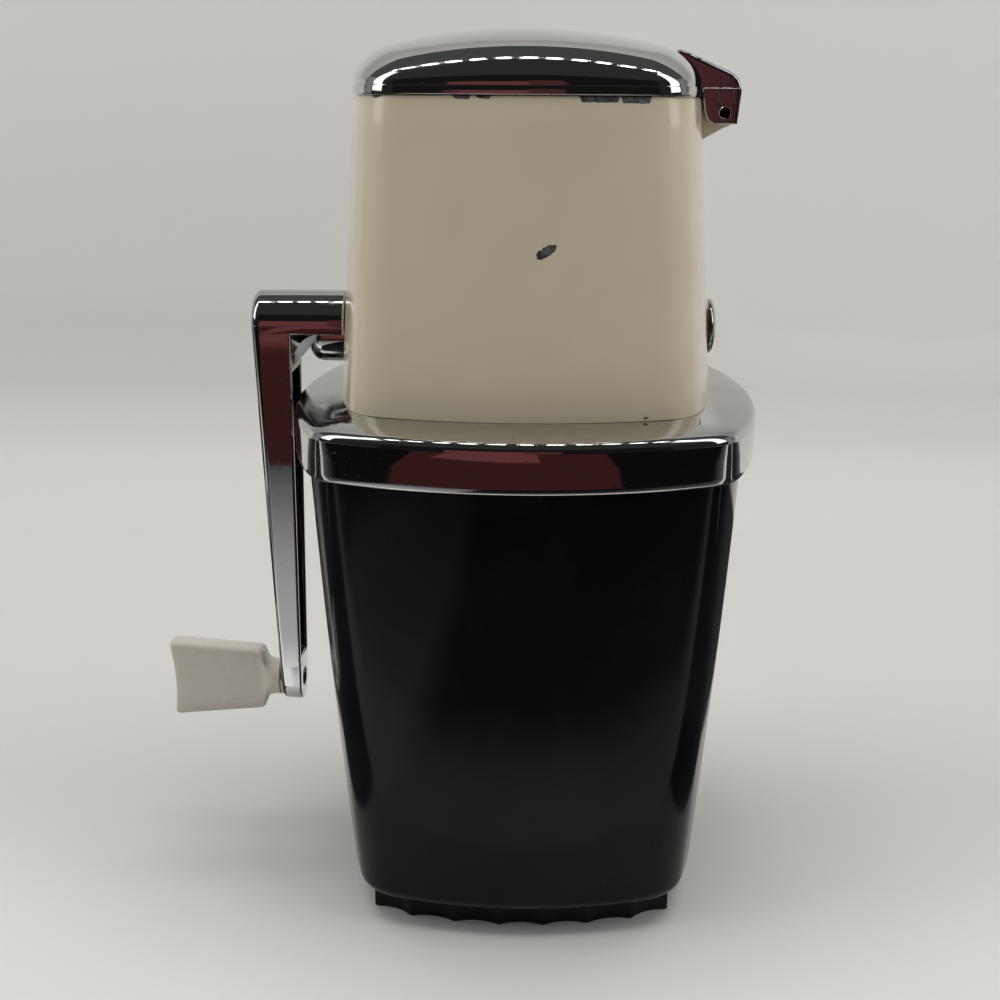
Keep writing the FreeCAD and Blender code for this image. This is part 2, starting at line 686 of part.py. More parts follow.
# Cutters: alike star plates, each slid on one flat further round the hexagon
def make_cutter(number):
    body = new_body(f"cutter_{number}")
    disc = new_sketch(body, "YZ_Plane")
    circle(disc, "0", "0", "cutter_root_radius")
    pad(body, disc, "cutter_thickness", symmetric=True)
    tooth = new_sketch(body, "YZ_Plane")
    base = "sqrt(cutter_root_radius * cutter_root_radius - cutter_tooth_width * cutter_tooth_width / 4)"
    sunk = base + " - tooth_sink"
    outline(tooth, [("-cutter_tooth_width / 2", sunk), ("cutter_tooth_width / 2", sunk),
                    ("cutter_tooth_width / 2", base), ("cutter_tip_width / 2", "cutter_tip_radius"),
                    ("-cutter_tip_width / 2", "cutter_tip_radius"), ("-cutter_tooth_width / 2", base)])
    spike = pad(body, tooth, "cutter_thickness", symmetric=True)
    ring = body.newObject("PartDesign::PolarPattern", f"cutter_{number}_teeth")
    ring.Originals = [spike]
    ring.Axis = (tooth, ["N_Axis"])
    ring.Angle = 360
    bind(ring, "Occurrences", "cutter_teeth")
    body.Tip = ring
    bore = new_sketch(body, "YZ_Plane")
    outline(bore, six_corners(f"({HEX_CORNER} + hex_clearance / 2)"))
    cut(body, bore, "cutter_thickness", symmetric=True)
    bind(body, "Placement.Base.x", f"{PITCH} * ({number} - (cutter_count + 1) / 2)")
    bind(body, "Placement.Base.z", SHAFT_HEIGHT)
    body.Placement.Rotation = FreeCAD.Rotation(FreeCAD.Vector(1, 0, 0), 60 * (number - 1))


def make_spacers():
    bore = f"{HEX_CORNER} + hex_clearance / 2"
    count = int(value("cutter_count"))
    for number in range(1, count):
        middle = f"{PITCH} * ({number} - cutter_count / 2)"
        half = f"({PITCH} - cutter_thickness) / 2"
        ring(f"cutter_spacer_{number}", f"{middle} - {half}", f"{middle} + {half}", bore, "spacer_radius")
    ring("end_spacer_front", f"-{THRUST_FACE}", f"-{STACK_HALF}", bore, "spacer_radius")
    ring("end_spacer_rear", STACK_HALF, THRUST_FACE, bore, "spacer_radius")


def ring(label, left, right, bore, radius):
    return turned(label, [(left, bore), (right, bore), (right, radius), (left, radius)])


def make_thrust_washers():
    bore = "journal_radius"
    out = f"{THRUST_FACE} + thrust_washer_thickness"
    ring("thrust_washer_front", f"-({out})", f"-{THRUST_FACE}", bore, "spacer_radius")
    ring("thrust_washer_rear", THRUST_FACE, out, bore, "spacer_radius")


def make_shaft_cap():
    tip = f"({CAP_BASE} + cap_edge + cap_dome)"
    sphere = "((cap_radius * cap_radius + cap_dome * cap_dome) / (2 * cap_dome))"
    turned("shaft_cap", [
        (f"{CAP_BASE} - cap_spigot_length", "0"), (tip, "0"),
        (f"{CAP_BASE} + cap_edge", "cap_radius"), (CAP_BASE, "cap_radius"),
        (CAP_BASE, "cap_spigot_radius"), (f"{CAP_BASE} - cap_spigot_length", "cap_spigot_radius")],
        arcs={1: (sphere, 1)})


# Combs: steel plates on the ledge whose teeth stand between the cutters
def make_comb(label, side, tip, width):
    sign = "" if side > 0 else "-"
    body = new_body(label)
    plate = new_sketch(body, "XY_Plane", LEDGE_TOP)
    half = f"(cutter_count * {PITCH} / 2 + fine_tooth_width / 2)"
    low, high = f"{sign}comb_root", sign + COMB_BACK
    outline(plate, [(f"-{half}", low), (half, low), (f"{half} - comb_corner_cut", high),
                    (f"comb_corner_cut - {half}", high)])
    pad(body, plate, "comb_thickness")
    tooth = new_sketch(body, "XY_Plane", LEDGE_TOP)
    first = f"(-cutter_count * {PITCH} / 2)"
    sunk = f"{sign}(comb_root + tooth_sink / 2)"
    narrow = f"{width} * {TOOTH_TAPER}"
    outline(tooth, [(f"{first} - {width} / 2", sunk), (f"{first} - {narrow}", sign + tip),
                    (f"{first} + {narrow}", sign + tip), (f"{first} + {width} / 2", sunk)])
    spike = pad(body, tooth, "comb_thickness")
    row = body.newObject("PartDesign::LinearPattern", label + "_teeth")
    row.Originals = [spike]
    row.Direction = (tooth, ["H_Axis"])
    bind(row, "Length", f"cutter_count * {PITCH}")
    bind(row, "Occurrences", "cutter_count + 1")
    body.Tip = row
    holes = new_sketch(body, "XY_Plane", LEDGE_TOP)
    for across in ("", "-"):
        circle(holes, across + "comb_screw_place", sign + COMB_SCREW_LINE, "comb_screw_radius")
    cut(body, holes, "comb_thickness", forward=True)


# Screws: a shank and a flat head each, as one group of separate solids
def make_screws(label, places, foot, length, radius, head_below):
    pieces = []
    for number, (x, y) in enumerate(places):
        shank = doc.addObject("Part::Cylinder", f"{label}_shank_{number}")
        head = doc.addObject("Part::Cylinder", f"{label}_head_{number}")
        for cylinder in (shank, head):
            bind(cylinder, "Placement.Base.x", x)
            bind(cylinder, "Placement.Base.y", y)
        bind(shank, "Radius", radius)
        bind(shank, "Height", length)
        bind(shank, "Placement.Base.z", foot)
        bind(head, "Radius", f"{radius} * {HEAD_SPREAD}")
        bind(head, "Height", f"{radius} * {HEAD_DEPTH}")
        below, above = f"{foot} - {radius} * {HEAD_DEPTH}", f"{foot} + {length}"
        bind(head, "Placement.Base.z", below if head_below else above)
        pieces += [shank, head]
    group = doc.addObject("Part::MultiFuse", label)
    group.Shapes = pieces
    group.Label = label
    nodes.append(group)


# Crank: a tapered channel that hangs from a hooded hub
def make_crank_arm():
    body = new_body("crank_arm")
    boss = new_sketch(body, "YZ_Plane", "-boss_end")
    circle(boss, "0", f"{SHAFT_HEIGHT} - boss_drop", "boss_radius")
    boss_pad = pad(body, boss, f"boss_end - {HUB_FACE}")
    end = value("-boss_end")
    fillet(body, boss_pad, "boss_edge_radius", lambda edge: level(edge, 0, end))
    hood = new_sketch(body, "YZ_Plane", "-hub_end")
    skirt = f"({SHAFT_HEIGHT} - hub_skirt)"
    outline(hood, [("-hub_radius", skirt), ("hub_radius", skirt), ("hub_radius", SHAFT_HEIGHT),
                   ("-hub_radius", SHAFT_HEIGHT)], {2: ("hub_radius * 1.00001", 1)})
    hood_pad = pad(body, hood, f"hub_end - {HUB_FACE}")
    outer = value("-hub_end")
    rim = value(f"{SHAFT_HEIGHT} + overrun")
    fillet(body, hood_pad, "hub_edge_radius", lambda edge: level(edge, 0, outer) and edge.BoundBox.ZMax > rim)
    top = new_sketch(body, "XY_Plane", SHAFT_HEIGHT)
    rectangle(top, "-arm_outer_top", "-arm_inner_top", "-hub_radius", "hub_radius")
    tip = new_sketch(body, "XY_Plane", PADDLE_AXIS)
    rectangle(tip, "-arm_outer_tip", "-arm_inner_tip", "-arm_tip_radius", "arm_tip_radius")
    loft(body, [top, tip])
    round_end = new_sketch(body, "YZ_Plane", "-arm_outer_tip")
    circle(round_end, "0", PADDLE_AXIS, "arm_tip_radius")
    pad(body, round_end, "arm_outer_tip - arm_inner_tip")
    gusset = new_sketch(body, "XZ_Plane")
    inner, root, toe = "-arm_inner_top", "-arm_inner_top - gusset_root", "-arm_inner_top + gusset_reach"
    low, high = f"{skirt} - gusset_height", f"{skirt} + overrun"
    outline(gusset, [(root, high), (root, low), (inner, low), (toe, skirt), (toe, high)],
            {2: ("gusset_radius", -1)})
    channel_top = f"({low})"
    channel_low = f"({PADDLE_AXIS} + arm_tip_radius + channel_end_gap)"
    slope_out = "((arm_outer_top - arm_outer_tip) / crank_radius)"
    slope_side = "((hub_radius - arm_tip_radius) / crank_radius)"
    hollows = []
    for height in (channel_top, channel_low):
        fall = f"({SHAFT_HEIGHT} - {height})"
        hollow = new_sketch(body, "XY_Plane", height)
        side = f"(hub_radius - {fall} * {slope_side} - arm_flange)"
        floor = f"(arm_outer_top - {fall} * {slope_out} - arm_web)"
        rectangle(hollow, f"-{floor}", "-arm_inner_top + 2 * overrun", f"-{side}", side)
        hollows.append(hollow)
    loft(body, hollows, "SubtractiveLoft")
    pad(body, gusset, "hub_radius", symmetric=True)
    recess = new_sketch(body, "YZ_Plane", "-arm_inner_tip")
    circle(recess, "0", PADDLE_AXIS, "rivet_recess_radius")
    cut(body, recess, "rivet_recess_depth")
    rivet = new_sketch(body, "YZ_Plane", "-arm_inner_tip")
    circle(rivet, "0", PADDLE_AXIS, "paddle_pin_radius")
    cut(body, rivet, "arm_outer_tip - arm_inner_tip")
    seat = new_sketch(body, "YZ_Plane", "-arm_outer_tip")
    circle(seat, "0", PADDLE_AXIS, "washer_seat_radius")
    cut(body, seat, "paddle_washer_thickness")
    bore = new_sketch(body, "YZ_Plane", f"-{HUB_FACE}")
    circle(bore, "0", SHAFT_HEIGHT, "journal_radius")
    cut(body, bore, f"{SHAFT_TIP} - {HUB_FACE}")
    thread = new_sketch(body, "XY_Plane", SHAFT_HEIGHT)
    circle(thread, "-(boss_end + " + HUB_FACE + ") / 2", "0", "grub_screw_radius")
    cut(body, thread, "hub_radius + boss_radius")


def make_crank_grub_screw():
    body = new_body("crank_grub_screw")
    sketch = new_sketch(body, "XY_Plane", f"{SHAFT_HEIGHT} - boss_drop - boss_radius + grub_screw_sink")
    circle(sketch, "-(boss_end + " + HUB_FACE + ") / 2", "0", "grub_screw_radius")
    pad(body, sketch, "boss_drop + boss_radius - journal_radius - grub_screw_sink")


# Paddle grip: a flat fish tail that turns on a headed pin
def make_crank_paddle():
    body = new_body("crank_paddle")
    root = f"(-{PADDLE_FACE} - paddle_neck_length)"
    tip = f"(-{PADDLE_END})"
    tail = new_sketch(body, "XZ_Plane")
    chord = "paddle_tip_half"
    hollow_radius = f"(({chord} * {chord} + paddle_hollow * paddle_hollow) / (2 * paddle_hollow))"
    shoulder = "(paddle_neck_radius + paddle_shoulder)"
    outline(tail, [(root, f"-{shoulder}"), (root, shoulder),
                   (f"{root} - paddle_shoulder_length", "paddle_root_half"), (tip, "paddle_tip_half"),
                   (tip, "-paddle_tip_half"), (f"{root} - paddle_shoulder_length", "-paddle_root_half")],
            {1: ("paddle_shoulder_radius", 1), 3: (hollow_radius, 1), 5: ("paddle_shoulder_radius", 1)})
    blade = pad(body, tail, "paddle_thickness", symmetric=True)
    fillet(body, blade, "paddle_edge_radius", lambda edge: edge.BoundBox.YLength < TOUCH)
    neck = new_sketch(body, "YZ_Plane", f"-{PADDLE_FACE}")
    circle(neck, "0", "0", "paddle_neck_radius")
    pad(body, neck, "paddle_neck_length + paddle_neck_grip", backward=True)
    bore = new_sketch(body, "YZ_Plane", f"-{PADDLE_FACE}")
    circle(bore, "0", "0", "paddle_pin_radius + paddle_bore_clearance")
    cut(body, bore, "paddle_length")
    sink = new_sketch(body, "YZ_Plane", f"-{PADDLE_END} + paddle_pin_head_depth")
    circle(sink, "0", "0", "paddle_pin_head_radius + paddle_bore_clearance")
    cut(body, sink, "paddle_pin_head_depth + overrun")
    bind(body, "Placement.Base.z", PADDLE_AXIS)


def make_paddle_pin():
    seat = f"-({PADDLE_END} - paddle_pin_head_depth + paddle_pin_seat_gap)"
    head = f"{seat} - paddle_pin_head_thickness"
    inner = "-(arm_inner_tip + paddle_pin_end_sink)"
    turned("paddle_pin", [(head, "0"), (inner, "0"), (inner, "paddle_pin_radius"),
                          (seat, "paddle_pin_radius"), (seat, "paddle_pin_head_radius"),
                          (head, "paddle_pin_head_radius")], height=PADDLE_AXIS)


def make_paddle_washer():
    left = "-(arm_outer_tip + paddle_washer_thickness)"
    turned("paddle_washer", [(left, "paddle_pin_radius"), ("-arm_outer_tip", "paddle_pin_radius"),
                             ("-arm_outer_tip", "paddle_neck_radius"), (left, "paddle_neck_radius")],
           height=PADDLE_AXIS)


make_rubber_foot()
make_foot_plate()
make_foot_screw()
make_cup()
make_collar()
make_housing()
make_screws("housing_screws", four_corners(POST_PLACE, POST_PLACE), DECK_UNDER,
            "(collar_deck + collar_rise + deck_screw_grip - deck_screw_end_gap)", "deck_screw_radius", True)
make_lid()
make_hinge_pin()
make_bush("front_bush", -1)
make_bush("rear_bush", 1)
make_comb("fine_comb", 1, "fine_tooth_tip", "fine_tooth_width")
make_comb("coarse_comb", -1, "coarse_tooth_tip", "coarse_tooth_width")
make_screws("comb_screws", four_corners("comb_screw_place", COMB_SCREW_LINE), LEDGE_UNDER,
            "(ledge_thickness + comb_thickness)", "comb_screw_radius", False)
make_rotor_shaft()
for place in range(1, int(value("cutter_count")) + 1):
    make_cutter(place)
make_spacers()
make_thrust_washers()
make_shaft_cap()
make_crank_arm()
make_crank_grub_screw()
make_crank_paddle()
make_paddle_pin()
make_paddle_washer()
doc.recompute()

faults = [item.Label for item in doc.Objects if "Invalid" in item.State or "Error" in item.State]
faults += [node.Label for node in nodes if node.Shape.isNull() or not node.Shape.isValid()]
if faults:
    raise RuntimeError("not sound: " + ", ".join(faults))
os.makedirs("parts", exist_ok=True)
for node in nodes:
    node.Shape.exportStep(f"parts/{node.Label}.step")
    print(f"{node.Label}: {len(node.Shape.Solids)} solids, {node.Shape.Volume:.0f} mm3")
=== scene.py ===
import json
import math
import bmesh
import bpy
from mathutils import Matrix, Vector


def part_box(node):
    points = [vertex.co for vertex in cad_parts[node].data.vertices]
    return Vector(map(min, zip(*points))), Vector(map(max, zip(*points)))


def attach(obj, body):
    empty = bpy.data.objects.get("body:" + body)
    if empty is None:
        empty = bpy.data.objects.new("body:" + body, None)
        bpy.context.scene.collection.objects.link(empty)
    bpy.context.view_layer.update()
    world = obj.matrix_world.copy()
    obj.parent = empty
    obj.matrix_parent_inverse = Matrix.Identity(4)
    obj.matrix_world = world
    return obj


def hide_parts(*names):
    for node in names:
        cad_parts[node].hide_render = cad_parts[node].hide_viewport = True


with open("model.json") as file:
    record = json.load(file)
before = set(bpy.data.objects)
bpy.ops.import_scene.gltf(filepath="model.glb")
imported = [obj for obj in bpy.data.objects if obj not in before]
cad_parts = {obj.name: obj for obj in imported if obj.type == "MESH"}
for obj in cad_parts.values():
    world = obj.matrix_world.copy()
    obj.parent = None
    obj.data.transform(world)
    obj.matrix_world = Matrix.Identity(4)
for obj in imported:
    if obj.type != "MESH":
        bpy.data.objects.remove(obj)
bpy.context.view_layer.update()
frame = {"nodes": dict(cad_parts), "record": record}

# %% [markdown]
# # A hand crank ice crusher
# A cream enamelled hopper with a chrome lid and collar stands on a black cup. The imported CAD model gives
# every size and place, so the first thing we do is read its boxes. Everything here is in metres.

MM = 0.001
housing_low, housing_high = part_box("housing")
collar_low, collar_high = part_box("collar")
cup_low, cup_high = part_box("cup")
foot_low, foot_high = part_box("rubber_foot")
lid_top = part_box("lid")[1][2]
shaft_low, shaft_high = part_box("rotor_shaft")
pin_low, pin_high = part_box("hinge_pin")
grip_low, grip_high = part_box("paddle_pin")
shaft_height = (shaft_low[2] + shaft_high[2]) / 2
grip_height = (grip_low[2] + grip_high[2]) / 2
pin_reach = (pin_low[0] + pin_high[0]) / 2
pin_height = (pin_low[2] + pin_high[2]) / 2
collar_rim = collar_high[2] - 2.2 * MM
print("shaft, grip and hinge pin heights:", shaft_height, grip_height, pin_height)

# %% [markdown]
# ## The plan shape
# Seen from above, every shell of this crusher is a square with gently bulged sides and round corners. One
# function gives how far out that outline lies in any direction, so that a ring of points keeps its
# directions while it grows or shrinks from one height to the next.

# %% The outline's reach in a direction
BULGE = 127 * MM
CORNER = 15 * MM


def reach(direction, half, corner=CORNER, bulge=BULGE):
    """Distance from the middle to a bulged square's outline, in a direction in radians."""
    back = bulge - half
    long_arm = bulge - corner
    middle = (-back + math.sqrt(2 * long_arm ** 2 - back ** 2)) / 2
    turn = math.atan2(middle, middle + back)
    edge_end = math.atan2(bulge * math.sin(turn), bulge * math.cos(turn) - back)
    folded = abs((direction + math.pi / 4) % (math.pi / 2) - math.pi / 4)
    if folded <= edge_end:
        return -back * math.cos(folded) + math.sqrt(bulge ** 2 - (back * math.sin(folded)) ** 2)
    along = middle * (math.cos(folded) + math.sin(folded))
    across = middle * (math.cos(folded) - math.sin(folded))
    return along + math.sqrt(corner ** 2 - across ** 2)


print("half diagonal of the housing's foot:", round(reach(math.pi / 4, housing_high[1]) / MM, 1), "mm")

# %% [markdown]
# ## Growing a shell ring by ring
# A pressed or moulded shell can be made by extruding a ring of edges again and again, each time moving the
# new ring to the next outline of the profile. That keeps the sides as smooth as the number of points allows,
# which matters on chrome, where each facet would show.

# %% Helpers for shells and finished pieces
RING_POINTS = 320


def verts_in(geom):
    """The vertices among what an operator returned."""
    return [item for item in geom if isinstance(item, bmesh.types.BMVert)]


def edges_between(geom, verts):
    """The edges that join two of these vertices."""
    members = set(verts)
    return [item for item in geom if isinstance(item, bmesh.types.BMEdge) and set(item.verts) <= members]


def place_ring(ring, section):
    """Moves each point of a ring to where the section puts its direction."""
    for point in ring:
        direction = math.atan2(point.co.y, point.co.x)
        point.co = section(direction)


def grow_shell(sections, points=RING_POINTS, loop=False):
    """A mesh grown from ring to ring; a section turns a direction into a place. A loop joins its two ends."""
    mesh = bmesh.new()
    first = bmesh.ops.create_circle(mesh, segments=points, radius=1)["verts"]
    start_edges = list(mesh.edges)
    edges = start_edges
    place_ring(first, sections[0])
    for section in sections[1:]:
        grown = bmesh.ops.extrude_edge_only(mesh, edges=edges)["geom"]
        ring = verts_in(grown)
        edges = edges_between(grown, ring)
        place_ring(ring, section)
    if loop:
        bmesh.ops.bridge_loops(mesh, edges=start_edges + edges)
    else:
        bmesh.ops.contextual_create(mesh, geom=start_edges)
        bmesh.ops.contextual_create(mesh, geom=edges)
    bmesh.ops.recalc_face_normals(mesh, faces=mesh.faces)
    return mesh


def flat_section(half, height, corner=CORNER, bulge=BULGE):
    def section(direction):
        out = reach(direction, half, corner, bulge)
        return Vector((out * math.cos(direction), out * math.sin(direction), height))
    return section


def round_section(radius, height):
    return lambda direction: Vector((radius * math.cos(direction), radius * math.sin(direction), height))


def finish_piece(mesh, name, body, finish, replaced=(), sharp=35):
    """Turns a bmesh into a piece that rides on a body and has a finish."""
    data = bpy.data.meshes.new(name)
    mesh.to_mesh(data)
    mesh.free()
    data.shade_smooth()
    data.set_sharp_from_angle(angle=math.radians(sharp))
    piece = bpy.data.objects.new(name, data)
    bpy.context.scene.collection.objects.link(piece)
    data.materials.append(finish)
    if body:
        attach(piece, body)
    if replaced:
        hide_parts(*replaced)
    print(f"{name}: {len(data.polygons)} faces")
    return piece


# %% [markdown]
# ## Shader maths
# Wear and colour are sums and products of noise. This small class lets us write them as plain expressions:
# each operator adds the Math node that it stands for.

# %% A value in a material's nodes
class Shade:
    """A number or colour on its way through a material's nodes."""

    def __init__(self, tree, socket=None):
        self.tree = tree
        self.socket = socket

    def node(self, kind, settings=None, inputs=None, output=0):
        made = self.tree.nodes.new(kind)
        for name, setting in (settings or {}).items():
            setattr(made, name, setting)
        for name, given in (inputs or {}).items():
            if isinstance(given, Shade):
                self.tree.links.new(given.socket, made.inputs[name])
            else:
                made.inputs[name].default_value = given
        return Shade(self.tree, made.outputs[output])

    def _maths(self, operation, first, second):
        return self.node("ShaderNodeMath", {"operation": operation}, {0: first, 1: second})

    def __add__(self, other):
        return self._maths("ADD", self, other)

    def __radd__(self, other):
        return self._maths("ADD", other, self)

    def __sub__(self, other):
        return self._maths("SUBTRACT", self, other)

    def __rsub__(self, other):
        return self._maths("SUBTRACT", other, self)

    def __mul__(self, other):
        return self._maths("MULTIPLY", self, other)

    def ramp(self, start, end):
        """0 below start, 1 above end, smooth between; start may be the larger."""
        low, high = min(start, end), max(start, end)
        levels = (0, 1) if start < end else (1, 0)
        return self.node("ShaderNodeMapRange", {"interpolation_type": "SMOOTHSTEP"},
                         {"Value": self, "From Min": low, "From Max": high,
                          "To Min": levels[0], "To Max": levels[1]})

    def band(self, low_out, low_in, high_in, high_out):
        """1 between the two inner values, fading to 0 at the outer ones."""
        return self.ramp(low_out, low_in) * self.ramp(high_out, high_in)

    def tint(self, dark, light):
        """Mixes two colours by this value."""
        return self.node("ShaderNodeMix", {"data_type": "RGBA"},
                         {0: self, 6: (*dark, 1) if isinstance(dark, tuple) else dark,
                          7: (*light, 1) if isinstance(light, tuple) else light}, 2)


def start_finish(name):
    """A new material with its shader, its object coordinates, and a noise maker."""
    material = bpy.data.materials.new(name)
    material.use_nodes = True
    shader = material.node_tree.nodes["Principled BSDF"]
    blank = Shade(material.node_tree)
    place = blank.node("ShaderNodeTexCoord", output="Object")

    def grain(scale, detail=3.0, stretch=(1, 1, 1)):
        mapped = blank.node("ShaderNodeMapping", inputs={"Vector": place, "Scale": stretch})
        return blank.node("ShaderNodeTexNoise", inputs={"Vector": mapped, "Scale": scale, "Detail": detail})

    return material, shader, blank, place, grain


def split(place):
    """The three coordinates of a place, each as a number."""
    parts = place.node("ShaderNodeSeparateXYZ", inputs={0: place})
    return [Shade(place.tree, output) for output in parts.socket.node.outputs]


def feed(shader, blank, **inputs):
    """Gives the shader its values; a Shade is linked, a number is set."""
    for name, given in inputs.items():
        socket = shader.inputs[name.replace("_", " ")]
        if isinstance(given, Shade):
            blank.tree.links.new(given.socket, socket)
        else:
            socket.default_value = given


# %% [markdown]
# ## Chrome
# Old chrome plate is a mirror with a veil: fine wiping scratches, a few cloudy patches and small pits. The
# roughness and a faint bump carry most of the age. Three places have a mask of their own, made from the
# coordinates: the filed cheeks of the hinge lug, the rough inner corner of the crank, and the sides of the
# collar's deck, which have gone cloudy and grey.

# %% Chrome plate
DECK_CLEAR, DECK_CLOUDY = 46 * MM, 53 * MM


def make_chrome(name, pits, veil=0.0):
    material, shader, blank, place, grain = start_finish(name)
    cloud = grain(38, 4).ramp(0.42, 0.75)
    wiped = grain(900, 2, (1, 1, 0.06)).ramp(0.55, 0.8)
    spots = grain(1400, 1).ramp(0.74 - pits, 0.80 - pits)
    hairs = grain(520, 2, (0.05, 1, 1)).ramp(0.66, 0.74) * cloud
    across, along, height = split(place)
    cheeks = height.band(*(pin_height + rise * MM for rise in (1.2, 3, 6.2, 6.5)))
    cheeks = cheeks * across.ramp(pin_reach - 5.4 * MM, pin_reach - 4.8 * MM)
    filed = grain(1500, 2, (1, 0.3, 0.03)).ramp(0.55, 0.62) * cheeks
    corner = across.band(-67.2 * MM, -66.5 * MM, -60 * MM, -58.4 * MM)
    corner = corner * along.band(-9 * MM, -8.8 * MM, 8.8 * MM, 9 * MM)
    corner = corner * height.band(153.5 * MM, 155 * MM, 165.3 * MM, 165.7 * MM)
    deck_side = height.ramp(collar_rim - 1.2 * MM, collar_rim)
    deck_side = deck_side * (across * across).ramp(DECK_CLEAR ** 2, DECK_CLOUDY ** 2)
    clouded = deck_side * (cloud * 0.35 + 0.65) * veil
    colour = (spots * 0.8).tint(clouded.tint((0.62, 0.62, 0.61), (0.30, 0.305, 0.31)), (0.16, 0.12, 0.09))
    scratch = blank.node("ShaderNodeBump", inputs={"Height": wiped + spots * -2.0, "Strength": 0.02,
                                                   "Distance": 0.0002})
    feed(shader, blank, Base_Color=colour, Metallic=1.0, Normal=scratch,
         Roughness=0.035 + cloud * 0.05 + wiped * 0.04 + spots * 0.3 + hairs * 0.3 + filed * 0.35
                   + corner * 0.38 + clouded * 0.10)
    return material


chrome = make_chrome("bright_chrome", 0.0)
worn_chrome = make_chrome("pitted_chrome", 0.025, 1.0)
print("chrome finishes:", chrome.name, "and", worn_chrome.name)

# %% [markdown]
# ## Black cup plastic, rubber and the ivory grip
# The cup is a polished moulding, so nearly all that we see on it is reflection, broken by faint scuffs. The
# foot is dull rubber with a dusty bloom. The grip is milky plastic with a little light under its skin.

# %% Moulded finishes
def make_plastic(name, colour, scuffed, rough, bloom):
    material, shader, blank, place, grain = start_finish(name)
    haze = grain(30, 4).ramp(0.35, 0.75)
    scuffs = grain(260, 3, (1, 1, 0.2)).ramp(0.62, 0.8)
    shade = (haze * bloom).tint(colour, scuffed)
    skin = blank.node("ShaderNodeBump", inputs={"Height": grain(700, 2), "Strength": 0.03, "Distance": 0.0002})
    feed(shader, blank, Base_Color=shade, Roughness=rough + haze * 0.06 + scuffs * 0.10, Normal=skin)
    return material, shader


black_plastic, cup_shader = make_plastic("black_cup_plastic", (0.002, 0.003, 0.004), (0.010, 0.012, 0.013), 0.10, 0.5)
cup_shader.inputs["Specular IOR Level"].default_value = 0.14
black_rubber, foot_shader = make_plastic("foot_rubber", (0.003, 0.004, 0.005), (0.010, 0.011, 0.011), 0.42, 0.6)
foot_shader.inputs["Specular IOR Level"].default_value = 0.2
ivory_plastic, grip_shader = make_plastic("ivory_grip", (0.60, 0.565, 0.505), (0.545, 0.505, 0.44), 0.26, 0.5)
grip_shader.inputs["Subsurface Weight"].default_value = 0.15
grip_shader.inputs["Subsurface Radius"].default_value = (0.004, 0.003, 0.002)
print("moulded finishes:", black_plastic.name, black_rubber.name, ivory_plastic.name)

# %% [markdown]
# ## Cream enamel and its chips
# The hopper is stoved enamel over a casting. It has lost flakes along the top edge, where the lid lands, and
# one larger flake in the middle of the front. A flake is a mask: inside it the colour drops to dark bare
# metal, the gloss goes, and the bump makes a step.

# %% Enamel
FLAKE = Vector((5.4 * MM, -48.6 * MM, 193.2 * MM))
# each flake of the rim in mm: from, to, and how deep
RIM_FLAKES = [(-37.6, -35.6, 0.7), (-17.4, -13.5, 0.9), (-11.9, -8.5, 0.8), (13.2, 22.6, 1.5), (23.3, 30.4, 1.7)]


def make_enamel(name, top):
    material, shader, blank, place, grain = start_finish(name)
    across, along, height = split(place)
    ragged = grain(700, 3)
    lumps = grain(95, 2, (1, 1, 0.35))
    # flakes along the front of the rim, and lumps of them elsewhere round it
    depth = 0.0
    for start, end, deep in RIM_FLAKES:
        here = across.band((start - 0.4) * MM, (start + 0.4) * MM, (end - 0.4) * MM, (end + 0.4) * MM)
        depth = here * (deep * MM) + depth
    elsewhere = along.ramp(-38 * MM, -35 * MM) * lumps.ramp(0.6, 0.66) * 0.8 * MM
    depth = depth * along.ramp(-35 * MM, -38 * MM) + elsewhere
    edge = height + depth + (ragged - 0.5) * 1.1 * MM * depth.ramp(0, 0.3 * MM)
    rim_flakes = edge.ramp(top + 0.02 * MM, top + 0.12 * MM) * depth.ramp(0.05 * MM, 0.2 * MM)
    # the large flake on the front
    turned = blank.node("ShaderNodeMapping", {"vector_type": "TEXTURE"},
                        {"Vector": place, "Location": FLAKE, "Rotation": (0, math.radians(-30), 0),
                         "Scale": (2.7 * MM, 9 * MM, 1.15 * MM)})
    away = blank.node("ShaderNodeVectorMath", {"operation": "LENGTH"}, {0: turned}, "Value")
    front_flake = (away + (ragged - 0.5) * 1.3).ramp(1.06, 0.98)
    # small nicks near the foot, and pinpoint pits anywhere
    low = height.ramp(top - 74 * MM, top - 79 * MM)
    nicks = (grain(420, 2, (0.35, 1, 1)) + low * 0.10).ramp(0.80, 0.815)
    bare = (rim_flakes + front_flake + nicks).ramp(0.1, 0.9)
    mellow = grain(22, 3).ramp(0.3, 0.75)
    cream = mellow.tint((0.640, 0.575, 0.430), (0.600, 0.530, 0.380))
    metal = ragged.ramp(0.35, 0.7).tint((0.026, 0.027, 0.030), (0.12, 0.12, 0.13))
    step = blank.node("ShaderNodeBump", inputs={"Height": (1 - bare) + grain(55, 2) * 0.35, "Strength": 0.35,
                                                "Distance": 0.0003})
    feed(shader, blank, Base_Color=bare.tint(cream, metal), Normal=step,
         Roughness=0.16 + mellow * 0.05 + bare * 0.35, Coat_Weight=0.35, Coat_Roughness=0.06)
    return material


enamel = make_enamel("cream_enamel", housing_high[2])
print("enamel with", len(RIM_FLAKES), "flakes along the front of its rim")

# %% [markdown]
# ## Steel and bronze inside
# The rotor and combs are plain machined steel with wiping marks along their length, and the bushes are
# turned bronze. They show when the lid is open.

